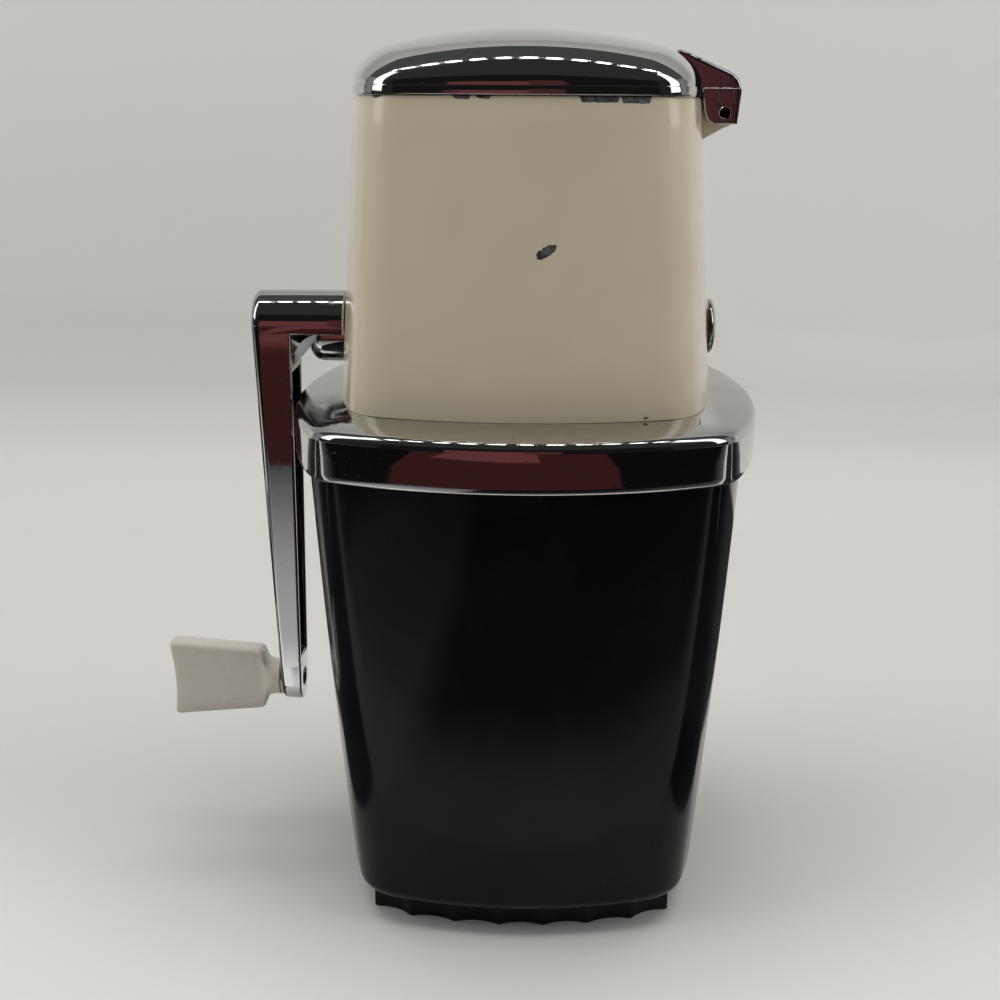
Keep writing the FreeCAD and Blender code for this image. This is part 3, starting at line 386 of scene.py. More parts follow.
# %% Machined metals
def make_machined(name, colour, dull, stretch):
    material, shader, blank, place, grain = start_finish(name)
    lines = grain(500, 3, stretch)
    stain = grain(60, 3).ramp(0.45, 0.8)
    bump = blank.node("ShaderNodeBump", inputs={"Height": lines, "Strength": 0.12, "Distance": 0.0002})
    feed(shader, blank, Base_Color=stain.tint(colour, dull), Metallic=1.0, Normal=bump,
         Roughness=0.24 + lines * 0.16 + stain * 0.15)
    return material


steel = make_machined("machined_steel", (0.50, 0.50, 0.49), (0.33, 0.31, 0.28), (0.1, 1, 1))
oiled_steel = make_machined("oiled_steel", (0.045, 0.040, 0.035), (0.020, 0.018, 0.016), (1, 1, 0.1))
bronze = make_machined("turned_bronze", (0.62, 0.44, 0.22), (0.40, 0.27, 0.13), (1, 0.2, 0.2))
slot_finish = {"chrome": chrome, "cream_enamel": enamel, "black_plastic": black_plastic, "bronze": bronze,
               "black_rubber": black_rubber, "ivory_plastic": ivory_plastic, "steel": steel}
for part in frame["record"]["subparts"]:
    node = frame["nodes"][part["node"]]
    for place in node.material_slots:
        place.material = slot_finish[part["material_slot"]]

# %% [markdown]
# ## Hopper
# The CAD casting keeps its inside, its ledge and its hinge knuckle. What shows outside is the enamel, which
# really is a coat over the casting: a thin skin that runs up the drafted wall, rolls over the rim and ends
# just inside the mouth.

# %% The enamel coat
COAT = 0.09 * MM
RIM_ROUND = 0.9 * MM
WALL = 3.0 * MM
foot_half, mouth_half = housing_high[1], 46.4 * MM
drop = (foot_half - mouth_half) / (housing_high[2] - housing_low[2])


def housing_half(height):
    return foot_half - (height - housing_low[2]) * drop


def enamel_sections():
    outer, top = COAT, housing_high[2] + COAT
    heights = [housing_low[2] + 0.05 * MM + step * (top - RIM_ROUND - housing_low[2]) / 12 for step in range(13)]
    sections = [flat_section(housing_half(h) + outer, h) for h in heights]
    for step in range(1, 7):
        angle = step * math.pi / 12
        inset = RIM_ROUND * (1 - math.cos(angle))
        sections.append(flat_section(mouth_half + outer - inset, top - RIM_ROUND * (1 - math.sin(angle)),
                                     CORNER - inset, BULGE - inset))
    for inset, height in ((WALL - 0.6 * MM, top), (WALL + COAT, top - 0.5 * MM), (WALL + COAT, top - 14 * MM)):
        half = housing_half(min(height, housing_high[2])) - inset
        sections.append(flat_section(half, height, CORNER - inset, BULGE - inset))
    for inset, height in ((WALL - 0.1 * MM, top - 14 * MM), (WALL - 0.1 * MM, top - 1.2 * MM),
                          (0.6 * MM, top - 1.2 * MM), (0.0, housing_low[2] + 0.05 * MM)):
        sections.append(flat_section(housing_half(height) - inset, height, CORNER - inset, BULGE - inset))
    return sections


coat = grow_shell(enamel_sections(), loop=True)
finish_piece(coat, "enamel_coat", "head", enamel)

# %% [markdown]
# ## Collar
# The collar is a pressed cap of chromed metal: a low wall with a rolled lip, a round shoulder, and a deck
# that rises a little to the hopper's foot, with a square throat in it for the ice.

# %% The collar
collar_half = 65.3 * MM
SHEET = 1.8 * MM
SHOULDER = 3.0 * MM
LIP = 0.9 * MM


def inset_section(half, inset, height, corner=CORNER):
    return flat_section(half - inset, height, max(corner - inset, 0.5 * MM), BULGE - inset)


def collar_sections():
    low, rim, foot = collar_low[2], collar_rim, collar_high[2]
    sections = [inset_section(collar_half, SHEET, low + 0.3 * MM)]
    for step in range(7):
        angle = math.pi * step / 6
        inset = LIP * (1 + math.cos(angle))
        sections.append(inset_section(collar_half, inset, low + LIP - LIP * math.sin(angle) * 0.9))
    sections.append(inset_section(collar_half, 0, low + LIP + 1.2 * MM))
    sections.append(inset_section(collar_half, 0, (low + rim) / 2))
    lean = math.atan2(foot - rim, collar_half - foot_half)
    for step in range(9):
        angle = (math.pi / 2 - lean) * step / 8
        inset = SHOULDER * (1 - math.cos(angle))
        height = rim - SHOULDER * math.tan(math.pi / 4 - lean / 2) + SHOULDER * math.sin(angle) * 0.98
        sections.append(inset_section(collar_half, inset, height))
    for share in (0.35, 0.6, 0.8, 0.93, 1.0):
        inset = share * (collar_half - foot_half)
        sections.append(inset_section(collar_half, inset, rim + (foot - rim) * share ** 0.8))
    throat = 35 * MM
    for half, height, corner in ((foot_half - 3 * MM, foot, 12 * MM), (throat, foot, 1 * MM),
                                 (throat, rim - 2.2 * MM, 1 * MM)):
        sections.append(flat_section(half, height, corner, BULGE if half > throat else 20))
    under = rim - 2.2 * MM
    sections.append(flat_section(foot_half - 3 * MM, under, 12 * MM))
    sections.append(inset_section(collar_half, SHEET, under))
    return sections


collar = grow_shell(collar_sections(), loop=True)
finish_piece(collar, "collar_pressing", "head", worn_chrome, ["collar"], sharp=50)

# %% [markdown]
# ## Lid
# The lid is a pillow on a low upright lip: inside the lip a round shoulder runs into a shallow dome. Each point
# takes its height from a sphere, pulled down to the lip by how near it is to the edge. Inside it is hollow.

# %% The lid's dome
lid_half = 46.9 * MM
LID_WALL = 2.0 * MM
LIP_HEIGHT = 2.2 * MM
LEDGE = 0.4 * MM
DOME = 158 * MM
SHOULDER_WIDTH = 10 * MM
SQUARENESS = 2.2
lid_bottom = housing_high[2] + 0.3 * MM


def pillow(x, y, inset, down=0.0):
    """Height of the lid's skin at a place that lies this far in from the edge."""
    dome = lid_top - down - (DOME - math.sqrt(DOME ** 2 - x * x - y * y))
    across = min(inset / SHOULDER_WIDTH, 1)
    rise = max(1 - (1 - across) ** SQUARENESS, 0) ** (1 / SQUARENESS)
    lip = lid_bottom + LIP_HEIGHT - down * 0.4
    return lip + (dome - lip) * rise


def lid_section(inset, shrink=1.0, wall=0.0):
    def section(direction):
        away = inset + wall + LEDGE
        out = reach(direction, lid_half - away, max(CORNER - away, 2 * MM), BULGE - away)
        out *= shrink
        x, y = out * math.cos(direction), out * math.sin(direction)
        return Vector((x, y, pillow(x, y, inset, wall)))
    return section


def lid_sections():
    sections = []
    insets = [SHOULDER_WIDTH * (1 - math.cos(math.pi / 2 * step / 22)) for step in range(23)]
    shrinks = [1 - step / 16 for step in range(1, 16)] + [0.03]
    for shrink in reversed(shrinks):
        sections.append(lid_section(SHOULDER_WIDTH, shrink, LID_WALL))
    for inset in reversed(insets[::2]):
        sections.append(lid_section(inset, 1.0, LID_WALL))
    edge = 0.15 * MM
    lip = lid_bottom + LIP_HEIGHT
    for inset, height in ((LID_WALL + LEDGE, lid_bottom), (edge, lid_bottom), (0, lid_bottom + edge),
                          (0, lip - 0.25 * MM), (0.07 * MM, lip - 0.07 * MM), (0.25 * MM, lip)):
        sections.append(inset_section(lid_half, inset, height))
    for inset in insets:
        sections.append(lid_section(inset))
    for shrink in shrinks:
        sections.append(lid_section(SHOULDER_WIDTH, shrink))
    return sections


dome = grow_shell(lid_sections())
print("the lid's dome has", len(dome.faces), "faces")

# %% [markdown]
# ## Hinge lug
# The lug is cast on the lid's back edge: a beak above, and a flat machined cheek each side of the slot. The beak
# is a side view made thick. A cheek grows ring by ring about its pin hole, which leaves a thin lip at the hole.

# %% Bevelled plates
def make_plate(outline, thickness, round_off=0.0):
    """A side view made thick to both sides of the middle, with its edges rounded if asked."""
    mesh = bmesh.new()
    for x, z in outline:
        mesh.verts.new((x, -thickness / 2, z))
    bmesh.ops.contextual_create(mesh, geom=mesh.verts)
    grown = bmesh.ops.extrude_face_region(mesh, geom=list(mesh.faces))["geom"]
    bmesh.ops.translate(mesh, verts=verts_in(grown), vec=(0, thickness, 0))
    bmesh.ops.recalc_face_normals(mesh, faces=mesh.faces)
    if round_off:
        sharp = [e for e in mesh.edges if e.is_manifold and e.calc_face_angle() > math.radians(28)]
        bmesh.ops.bevel(mesh, geom=sharp, offset=round_off, segments=5, profile=0.5, affect="EDGES",
                        material=-1, clamp_overlap=True)
        keep_flat(mesh, 2e-5)
    return mesh


def keep_flat(mesh, area):
    """Frames each large flat face with a narrow border, so that rounded edges don't bend its reflections."""
    flats = [f for f in mesh.faces if f.calc_area() > area]
    bmesh.ops.inset_individual(mesh, faces=flats, thickness=0.1 * MM, use_even_offset=True)


def join(target, other):
    """Adds one bmesh's pieces to another."""
    data = bpy.data.meshes.new("joined")
    other.to_mesh(data)
    other.free()
    target.from_mesh(data)
    bpy.data.meshes.remove(data)


# %% [markdown]
# The outline of a cheek is a row of points about the pin. To grow rings that follow it, we need to know how far
# it lies from the pin in any direction, which is where a ray meets one of its sides.

# %% The beak and the cheeks' outline
LUG_WIDTH = 24 * MM
CHEEK = 5.2 * MM
beak = [(pin_reach + x * MM, pin_height + z * MM) for x, z in
        ((-7.5, 5.0), (4.15, 5.0), (4.25, 6.2), (4.1, 7.2), (3.4, 8.7), (1.6, 10.2), (-11.8, 15.9), (-13.5, 16.0),
         (-13.5, 8.5))]
join(dome, make_plate(beak, LUG_WIDTH, round_off=1.0 * MM))
print("with its beak it has", len(dome.faces))
CHEEK_SIDE = [Vector(point) * MM for point in
              ((4.15, 6.4), (-6.1, 6.4), (-5.9, 3.0), (-5.5, 0.6), (-5.05, -0.9), (-4.4, -2.05), (-3.3, -2.75),
               (-2.4, -2.9), (3.35, -2.9), (4.15, 5.0))]


def cheek_reach(direction):
    """How far the cheek's outline lies from the pin in a direction."""
    ray = Vector((math.cos(direction), math.sin(direction)))
    for start, end in zip(CHEEK_SIDE, CHEEK_SIDE[1:] + CHEEK_SIDE[:1]):
        side = end - start
        facing = ray.x * side.y - ray.y * side.x
        out = (start.x * side.y - start.y * side.x) / facing if facing else -1
        share = (start.x * ray.y - start.y * ray.x) / facing if facing else -1
        if out > 0 and -1e-9 <= share <= 1 + 1e-9:
            return out
    return 3 * MM


def cheek_section(inset, depth):
    def section(direction):
        out = cheek_reach(direction) - inset
        return Vector((out * math.cos(direction), out * math.sin(direction), depth))
    return section


def turn_to_pin(mesh):
    """Lays a piece that was grown along Z along the hinge pin."""
    bmesh.ops.rotate(mesh, verts=mesh.verts, matrix=Matrix.Rotation(math.pi / 2, 3, "X"), cent=(0, 0, 0))
    bmesh.ops.translate(mesh, verts=mesh.verts, vec=(pin_reach, 0, pin_height))


# %% [markdown]
# Each cheek starts inside its pin hole, rolls over the hole's thin lip, runs flat to the outline and turns back
# into the lug. The pin itself is dark steel and lies a little below the faces.

# %% Cheeks and pin
PIN_HOLE = 1.32 * MM
for side in (1, -1):
    face, back = side * (LUG_WIDTH / 2 + 0.2 * MM), side * (LUG_WIDTH / 2 - CHEEK)
    rows = [round_section(PIN_HOLE + grow * MM, face - side * deep * MM)
            for grow, deep in ((0, 0.5), (0, 0.1), (0.06, -0.08), (0.2, -0.1), (0.3, 0.0), (0.42, 0.0))]
    rows.append(cheek_section(0.55 * MM, face))
    rows += [cheek_section(0.4 * MM * (1 - math.sin(a)), face - side * 0.4 * MM * (1 - math.cos(a)))
             for a in (0, math.pi / 6, math.pi / 3, math.pi / 2)]
    rows += [cheek_section(0, back), round_section(PIN_HOLE, back)]
    flank = grow_shell(rows, points=144, loop=True)
    turn_to_pin(flank)
    join(dome, flank)
finish_piece(dome, "lid_pressing", "lid", chrome, ["lid"], sharp=40)
pin_rows = [(0.4, -10.4), (0.9, -10.35), (1.25, -9.9), (1.25, 9.9), (0.9, 10.35), (0.4, 10.4)]
rod = grow_shell([round_section(r * MM, z * MM) for r, z in pin_rows], points=48)
turn_to_pin(rod)
finish_piece(rod, "hinge_pin_rod", "lid", oiled_steel, ["hinge_pin"], sharp=50)

# %% [markdown]
# ## Cup
# The cup is a tall moulding whose sides swell a little as they rise. Its wall follows one smooth curve through
# three widths, so we work the curve out once and use it for the outside and, moved in, for the inside.

# %% The cup
cup_base, cup_middle, cup_mouth = 52.6 * MM, 58.3 * MM, 62.6 * MM
CUP_WALL = 2.4 * MM
CUP_FLOOR = 4.0 * MM
CUP_EDGE = 4.7 * MM


def cup_half(height):
    share = max(height - cup_low[2] - CUP_EDGE, 0) / (cup_high[2] - cup_low[2] - CUP_EDGE)
    curve = cup_base * (1 - share) * (1 - 2 * share) + cup_middle * 4 * share * (1 - share)
    return curve + cup_mouth * share * (2 * share - 1)


def cup_sections():
    low, high = cup_low[2], cup_high[2]
    sections = [flat_section(8 * MM, low, 3 * MM, BULGE)]
    for step in range(11):
        angle = math.pi / 2 * step / 10
        inset = CUP_EDGE * (1 - math.sin(angle))
        sections.append(inset_section(cup_base, inset, low + CUP_EDGE * (1 - math.cos(angle))))
    rows = 24
    for step in range(1, rows + 1):
        height = low + CUP_EDGE + (high - low - CUP_EDGE) * step / rows
        sections.append(flat_section(cup_half(height), height))
    for step in range(rows, -1, -1):
        height = low + CUP_FLOOR + 2 * MM + (high - low - CUP_FLOOR - 2 * MM) * step / rows
        sections.append(inset_section(cup_half(height), CUP_WALL, height))
    sections.append(inset_section(cup_base, CUP_WALL + 2 * MM, low + CUP_FLOOR))
    sections.append(flat_section(8 * MM, low + CUP_FLOOR, 3 * MM, BULGE))
    return sections


cup = grow_shell(cup_sections())
finish_piece(cup, "cup_moulding", "base", black_plastic, ["cup"], sharp=50)

# %% [markdown]
# ## Foot
# The foot is a rubber pad with scallops between sharp ridges, like a pie case. One section function swings
# its reach in and out between the ridges.

# %% The scalloped foot
SCALLOP = 1.5 * MM
FOOT_POINTS = 448


def foot_ridges():
    """Places of the ridges round the foot: seven scallops in front and behind, six at each side."""
    places = []
    for quarter in range(4):
        front = quarter % 2
        pitch, ridges = (13.0 * MM, 6) if front else (12.2 * MM, 5)
        turn = Matrix.Rotation(quarter * math.pi / 2, 2)
        for step in range(ridges):
            along = (step - (ridges - 1) / 2) * pitch
            out = foot_high[1] - BULGE + math.sqrt(BULGE ** 2 - along ** 2)
            places.append(turn @ Vector((out, along)))
        corner = (36.6 * MM, 43.2 * MM) if front else (43.2 * MM, 36.6 * MM)
        places.append(turn @ Vector(corner))
    return places


def scallop_circles():
    """For each pair of ridges: their directions, and the circle that the scallop between them follows."""
    ridges = foot_ridges()
    circles = []
    for start, end in zip(ridges, ridges[1:] + ridges[:1]):
        half = (end - start).length / 2
        radius = (half ** 2 + SCALLOP ** 2) / (2 * SCALLOP)
        outward = Vector((end.y - start.y, start.x - end.x)).normalized()
        centre = (start + end) / 2 + outward * (radius - SCALLOP)
        circles.append((math.atan2(start.y, start.x), math.atan2(end.y, end.x), centre, radius))
    return circles


CIRCLES = scallop_circles()


def foot_section(height, shrink):
    """The scalloped outline: where a ray from the middle first meets the scallop's circle."""
    def section(direction):
        for start, end, centre, radius in CIRCLES:
            if (direction - start) % (2 * math.pi) < (end - start) % (2 * math.pi):
                break
        ray = Vector((math.cos(direction), math.sin(direction)))
        along = ray.dot(centre)
        out = along - math.sqrt(max(radius ** 2 - centre.length_squared + along ** 2, 0)) - shrink
        return Vector((out * ray.x, out * ray.y, height))
    return section


def foot_sections():
    low, high = foot_low[2], foot_high[2]
    return [round_section(5 * MM, low), foot_section(low, 0.5 * MM), foot_section(low + 0.5 * MM, 0),
            foot_section(high - 0.3 * MM, 0), foot_section(high, 0.3 * MM), round_section(12 * MM, high)]


foot = grow_shell(foot_sections(), points=FOOT_POINTS)
finish_piece(foot, "foot_pad", "base", black_rubber, ["rubber_foot"], sharp=35)

# %% [markdown]
# ## Crank
# The crank is one casting: a channel that narrows towards the grip and a half-round hood over the shaft. Its
# edge is well rounded at the hub and at the lowest point of the tip, and tighter beside the grip's neck, so we
# write the outline as a ring whose rounding depends on the place.

# %% The crank's sizes and outline
HUB_RADIUS = 9.35 * MM
TIP_RADIUS = 6.8 * MM
HUB_FACE = -51.0 * MM
OUTER_ROUND = 1.25 * MM
TIP_EXTRA = 1.4 * MM
HUB_CORNER = 2.7 * MM
CHANNEL_RIM = 1.9 * MM
CHANNEL_BACK = 2.0 * MM
skirt_height = shaft_height - 2.2 * MM
channel_top = shaft_height - 11.6 * MM
channel_low = grip_height + TIP_RADIUS - 1.0 * MM


def arm_outer(height):
    """The outer face leans inwards towards the grip, from just below the shaft."""
    share = (shaft_height - height) / (shaft_height - grip_height)
    return (-77.6 + 3.7 * share) * MM if height < shaft_height - 1 * MM else -77.6 * MM


def arm_inner(height):
    share = (shaft_height - height) / (shaft_height - grip_height)
    return (-66.2 - 1.7 * share) * MM


def arm_ring(inset_share, deep_share, points=96):
    """The arm's outline near its outer face, moved inwards and outwards by shares of the edge's rounding."""
    ring = []
    for step in range(points):
        angle = 2 * math.pi * step / points
        radius, centre, rounding = HUB_RADIUS, shaft_height, HUB_CORNER
        if math.sin(angle) < 0:
            radius, centre = TIP_RADIUS, grip_height
            rounding = OUTER_ROUND + TIP_EXTRA * math.sin(angle) ** 4
        out = radius - rounding * inset_share
        y, z = out * math.cos(angle), centre + out * math.sin(angle)
        ring.append((arm_outer(z) + rounding * (1 - deep_share), y, z))
    return ring


# %% [markdown]
# We start from the outline of the inner face and extrude it ring by ring to the rounded outer face. Then we cut
# the mesh at the heights where the hood and the channel start and end.

# %% Growing the arm
arm = bmesh.new()
for x, y, z in arm_ring(0, 0):
    arm.verts.new((arm_inner(z), y, z))
bmesh.ops.contextual_create(arm, geom=arm.verts)
ring_edges = list(arm.edges)
row = list(arm.verts)
for step in range(8):
    angle = math.pi / 14 * step
    grown = bmesh.ops.extrude_edge_only(arm, edges=ring_edges)["geom"]
    fresh = set(verts_in(grown))
    ring_edges = edges_between(grown, fresh)
    row = [next(e.other_vert(v) for e in v.link_edges if e.other_vert(v) in fresh) for v in row]
    for vert, place in zip(row, arm_ring(1 - math.cos(angle), math.sin(angle))):
        vert.co = place
bmesh.ops.contextual_create(arm, geom=ring_edges)
bmesh.ops.recalc_face_normals(arm, faces=arm.faces)
for height in (skirt_height, channel_top, channel_low):
    bmesh.ops.bisect_plane(arm, geom=list(arm.verts) + list(arm.edges) + list(arm.faces), dist=1e-7,
                           plane_co=(0, 0, height), plane_no=(0, 0, 1))
bmesh.ops.recalc_face_normals(arm, faces=arm.faces)
print("the arm has", len(arm.faces), "faces before its channel is sunk")


# %% [markdown]
# The cuts leave three inner faces. The middle one sinks to make the channel, the top one is pulled out over the
# shaft to make the hood, and the lowest one gets a round hole for the grip's pin.

# %% Channel, hood and pin hole
def inner_face(low, high):
    """The arm's inner face between two heights."""
    found = [f for f in arm.faces if f.normal.x > 0.9 and low < f.calc_center_median().z < high]
    return max(found, key=lambda f: f.calc_area())


HOLE_RADIUS, HOLE_DEPTH = 2.75 * MM, 2.6 * MM
channel = inner_face(channel_low, channel_top)
bmesh.ops.inset_region(arm, faces=[channel], thickness=CHANNEL_RIM, use_even_offset=True)
for vert in verts_in(bmesh.ops.extrude_face_region(arm, geom=[channel])["geom"]):
    vert.co.x = arm_outer(vert.co.z) + CHANNEL_BACK
bmesh.ops.delete(arm, geom=[channel], context="FACES_ONLY")
hood = inner_face(skirt_height, shaft_height + HUB_RADIUS)
for vert in verts_in(bmesh.ops.extrude_face_region(arm, geom=[hood])["geom"]):
    vert.co.x = HUB_FACE
bmesh.ops.delete(arm, geom=[hood], context="FACES_ONLY")
tip = inner_face(grip_height - TIP_RADIUS, channel_low)
border = list(tip.edges)
bmesh.ops.delete(arm, geom=[tip], context="FACES_ONLY")
mouth = bmesh.ops.create_circle(arm, segments=48, radius=HOLE_RADIUS)["verts"]
mouth_edges = edges_between(arm.edges, mouth)
for vert in mouth:
    across, up = vert.co.x, grip_height + vert.co.y
    vert.co = (arm_inner(up), across, up)
bmesh.ops.bridge_loops(arm, edges=border + mouth_edges)
bore = bmesh.ops.extrude_edge_only(arm, edges=mouth_edges)["geom"]
for vert in verts_in(bore):
    vert.co.x = arm_inner(grip_height) - HOLE_DEPTH
bmesh.ops.contextual_create(arm, geom=[e for e in bore if isinstance(e, bmesh.types.BMEdge) and e.is_boundary])
bmesh.ops.remove_doubles(arm, verts=arm.verts, dist=1e-6)
bmesh.ops.recalc_face_normals(arm, faces=arm.faces)
corners = [e for e in arm.edges if e.is_manifold and e.calc_face_angle() > math.radians(40)]
bmesh.ops.bevel(arm, geom=corners, offset=0.6 * MM, segments=3, profile=0.5, affect="EDGES", material=-1,
                clamp_overlap=True)
keep_flat(arm, 4e-5)

# %% [markdown]
# Under the hood sits the round boss that holds the shaft, with a rounded end, and a web with a hollow curve
# fills the corner between it and the channel. At the arm's tip the grip's pin lies sunk in its hole.

# %% Boss, web and grip pin
def turn_to_x(mesh, x, height):
    """Lays a piece that was grown along Z along -X, with its start at x."""
    bmesh.ops.rotate(mesh, verts=mesh.verts, matrix=Matrix.Rotation(-math.pi / 2, 3, "Y"), cent=(0, 0, 0))
    bmesh.ops.translate(mesh, verts=mesh.verts, vec=(x, 0, height))


BOSS_RADIUS = 7.8 * MM
BOSS_ROUND = 4.0 * MM
BOSS_STRAIGHT = 6.6 * MM
BOSS_DROP = 3.1 * MM
boss_rows = [(BOSS_RADIUS, 0), (BOSS_RADIUS, BOSS_STRAIGHT)]
for step in range(1, 9):
    angle = math.pi / 16 * step
    boss_rows.append((BOSS_RADIUS - BOSS_ROUND * (1 - math.cos(angle)),
                      BOSS_STRAIGHT + BOSS_ROUND * math.sin(angle)))
boss_rows = [(1 * MM, 0)] + boss_rows + [(1 * MM, BOSS_STRAIGHT + BOSS_ROUND)]
boss = grow_shell([round_section(r, z) for r, z in boss_rows], points=96)
turn_to_x(boss, HUB_FACE, shaft_height - BOSS_DROP)
join(arm, boss)
WEB_WIDE, WEB_HIGH = 8.3 * MM, 9.6 * MM
web = [(-70 * MM, skirt_height + 1 * MM), (-70 * MM, skirt_height - WEB_HIGH)]
for step in range(13):
    angle = math.pi / 24 * step
    web.append((arm_inner(skirt_height) + WEB_WIDE * (1 - math.cos(angle)) - 0.1 * MM,
                skirt_height - WEB_HIGH * (1 - math.sin(angle))))
web.append((arm_inner(skirt_height) + WEB_WIDE, skirt_height + 1 * MM))
web_plate = make_plate(web, 2 * HUB_RADIUS - 1.4 * MM)
for vert in web_plate.verts:
    vert.co.y *= 0.45 + 0.55 * (vert.co.z - skirt_height + WEB_HIGH) / (WEB_HIGH + 1 * MM)
join(arm, web_plate)
finish_piece(arm, "crank_casting", "crank", chrome, ["crank_arm"], sharp=32)
pin_end = arm_inner(grip_height) - 1.5 * MM
pin_head = grip_low[0]
pin_rows = [(1.0, pin_end), (2.0, pin_end), (2.4, pin_end - 0.4 * MM), (2.4, pin_head + 1.4 * MM),
            (3.3, pin_head + 1.4 * MM), (3.5, pin_head + 1.2 * MM), (3.5, pin_head + 0.2 * MM), (3.3, pin_head),
            (1.0, pin_head)]
rivet = grow_shell([round_section(r * MM, pin_end - x) for r, x in pin_rows], points=64)
turn_to_x(rivet, pin_end, grip_height)
finish_piece(rivet, "grip_rivet", "crank", oiled_steel, ["paddle_pin"], sharp=40)

# %% [markdown]
# ## Grip
# The grip is a flat fish tail in ivory plastic. Its cross-section starts as a round neck and widens to a thin
# slab with soft edges, and its end is hollowed a little. Rings along its length do all of that at once.

# %% The fish-tail grip
neck_face, tail_end = -74.6 * MM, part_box("crank_paddle")[0][0]
tail_length = neck_face - tail_end
HOLLOW = 1.2 * MM


def grip_section(along, tall, thick, square, inset=0.0, hollow=False):
    """A rounded oblong ring: square 2 is an ellipse, and larger is boxier."""
    def section(direction):
        c, s = math.cos(direction), math.sin(direction)
        flat = ((abs(c) / (tall - inset)) ** square + (abs(s) / (thick - inset)) ** square) ** (-1 / square)
        up, side = flat * c, flat * s
        dip = HOLLOW * (1 - (up / (12 * MM)) ** 2) + 0.35 * MM - 0.35 / 12 * up if hollow else 0
        return Vector((up, side, along - dip))
    return section


def grip_sections():
    end = tail_length
    rows = [(0.0, 4.9, 4.9, 2.0), (0.4, 5.5, 5.5, 2.0), (2.4, 5.5, 5.5, 2.0), (3.3, 5.7, 5.3, 2.2),
            (4.1, 6.1, 4.9, 2.6), (4.6, 6.7, 4.6, 3.2), (4.95, 7.6, 4.3, 4.0), (5.25, 8.5, 4.1, 5.0),
            (5.65, 9.2, 3.95, 6.0), (6.2, 9.6, 3.85, 7.0), (7.0, 9.75, 3.8, 7.0)]
    sections = [grip_section(0, 0.8 * MM, 0.8 * MM, 2)]
    sections += [grip_section(a * MM, t * MM, w * MM, q) for a, t, w, q in rows]
    for step in range(1, 9):
        share = step / 8
        along = 7.0 * MM + (end - 8.4 * MM) * share
        sections.append(grip_section(along, (9.75 + 2.25 * share) * MM, 3.8 * MM, 7, hollow=step == 8))
    for step in range(1, 6):
        angle = math.pi / 2 * step / 5
        sections.append(grip_section(end - 1.4 * MM + 1.4 * MM * math.sin(angle), 12 * MM, 3.8 * MM, 7,
                                     1.4 * MM * (1 - math.cos(angle)), True))
    sections.append(grip_section(end, 2 * MM, 1 * MM, 3, 0, True))
    return sections


grip = grow_shell(grip_sections(), points=160)
turn_to_x(grip, neck_face, grip_height)
finish_piece(grip, "fish_tail_grip", "paddle", ivory_plastic, ["crank_paddle"], sharp=50)

# %% [markdown]
# ## Shaft cap
# A low chrome button covers the rear end of the shaft. It is a few rings on a shallow sphere.

# %% The cap
CAP_HEIGHT = 2.5
cap_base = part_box("shaft_cap")[1][0] - CAP_HEIGHT * MM
cap_rows = [(1.0, 0.0), (7.5, 0.0), (7.8, 0.15), (7.8, 0.4)]
cap_rows += [(7.7 * math.cos(math.radians(a)), 0.5 + 2.0 * math.sin(math.radians(a))) for a in range(5, 90, 8)]
cap = grow_shell([round_section(r * MM, -h * MM) for r, h in cap_rows + [(0.3, CAP_HEIGHT)]], points=96)
turn_to_x(cap, cap_base, shaft_height)
finish_piece(cap, "shaft_button", "crank", chrome, ["shaft_cap"], sharp=50)

# %% [markdown]
# ## Floor, lamps and camera
# The crusher stands on a pale table in front of a pale wall, with a soft bend between them. Both are one sheet,
# extruded from a single side view. Its colour has painted light in it: paler towards the front, at the bend and low
# on the wall at the right, with painted shade high on the wall and a little random tone all over.

# %% The table and the wall
WALL_FOOT = 0.46
SWEEP = [(-1.6, 0), (WALL_FOOT - 0.07, 0), (WALL_FOOT - 0.03, 0.004), (WALL_FOOT, 0.02),
         (WALL_FOOT + 0.016, 0.05), (WALL_FOOT + 0.02, 0.09), (WALL_FOOT + 0.03, 1.08)]
sweep = bmesh.new()
line = [sweep.verts.new((-2.4, y, z)) for y, z in SWEEP]
for start, end in zip(line, line[1:]):
    sweep.edges.new((start, end))
drawn = bmesh.ops.extrude_edge_only(sweep, edges=list(sweep.edges))["geom"]
bmesh.ops.translate(sweep, verts=verts_in(drawn), vec=(4.8, 0, 0))
bmesh.ops.recalc_face_normals(sweep, faces=sweep.faces)
sweep_finish, sweep_shader, blank, place, grain = start_finish("pale_table")
across, along, height = split(place)
# painted light and shade: the sheet is paler in front, at the bend and low on the wall at the right, and darker high
# on the wall
painted_light = along.ramp(0.05, -0.08) * 0.85 + height.ramp(0.02, 0.13) * 0.55 + height.ramp(0.15, 0.3) * 0.2
painted_light = painted_light + across.ramp(-0.05, 0.22) * height.ramp(0.02, 0.10) * 0.8
pale = (painted_light + grain(3, 3) * 0.1).tint((0.560, 0.555, 0.525), (0.715, 0.710, 0.685))
feed(sweep_shader, blank, Base_Color=height.ramp(0.32, 0.60).tint(pale, (0.42, 0.415, 0.40)), Roughness=0.85)
finish_piece(sweep, "table_and_wall", None, sweep_finish)


# %% [markdown]
# Chrome shows whatever stands round it. The dark room in front, the dark ceiling, the windows and a row of small
# ceiling lamps are plain glowing cards that only reflections see, so they leave the light on the object alone.

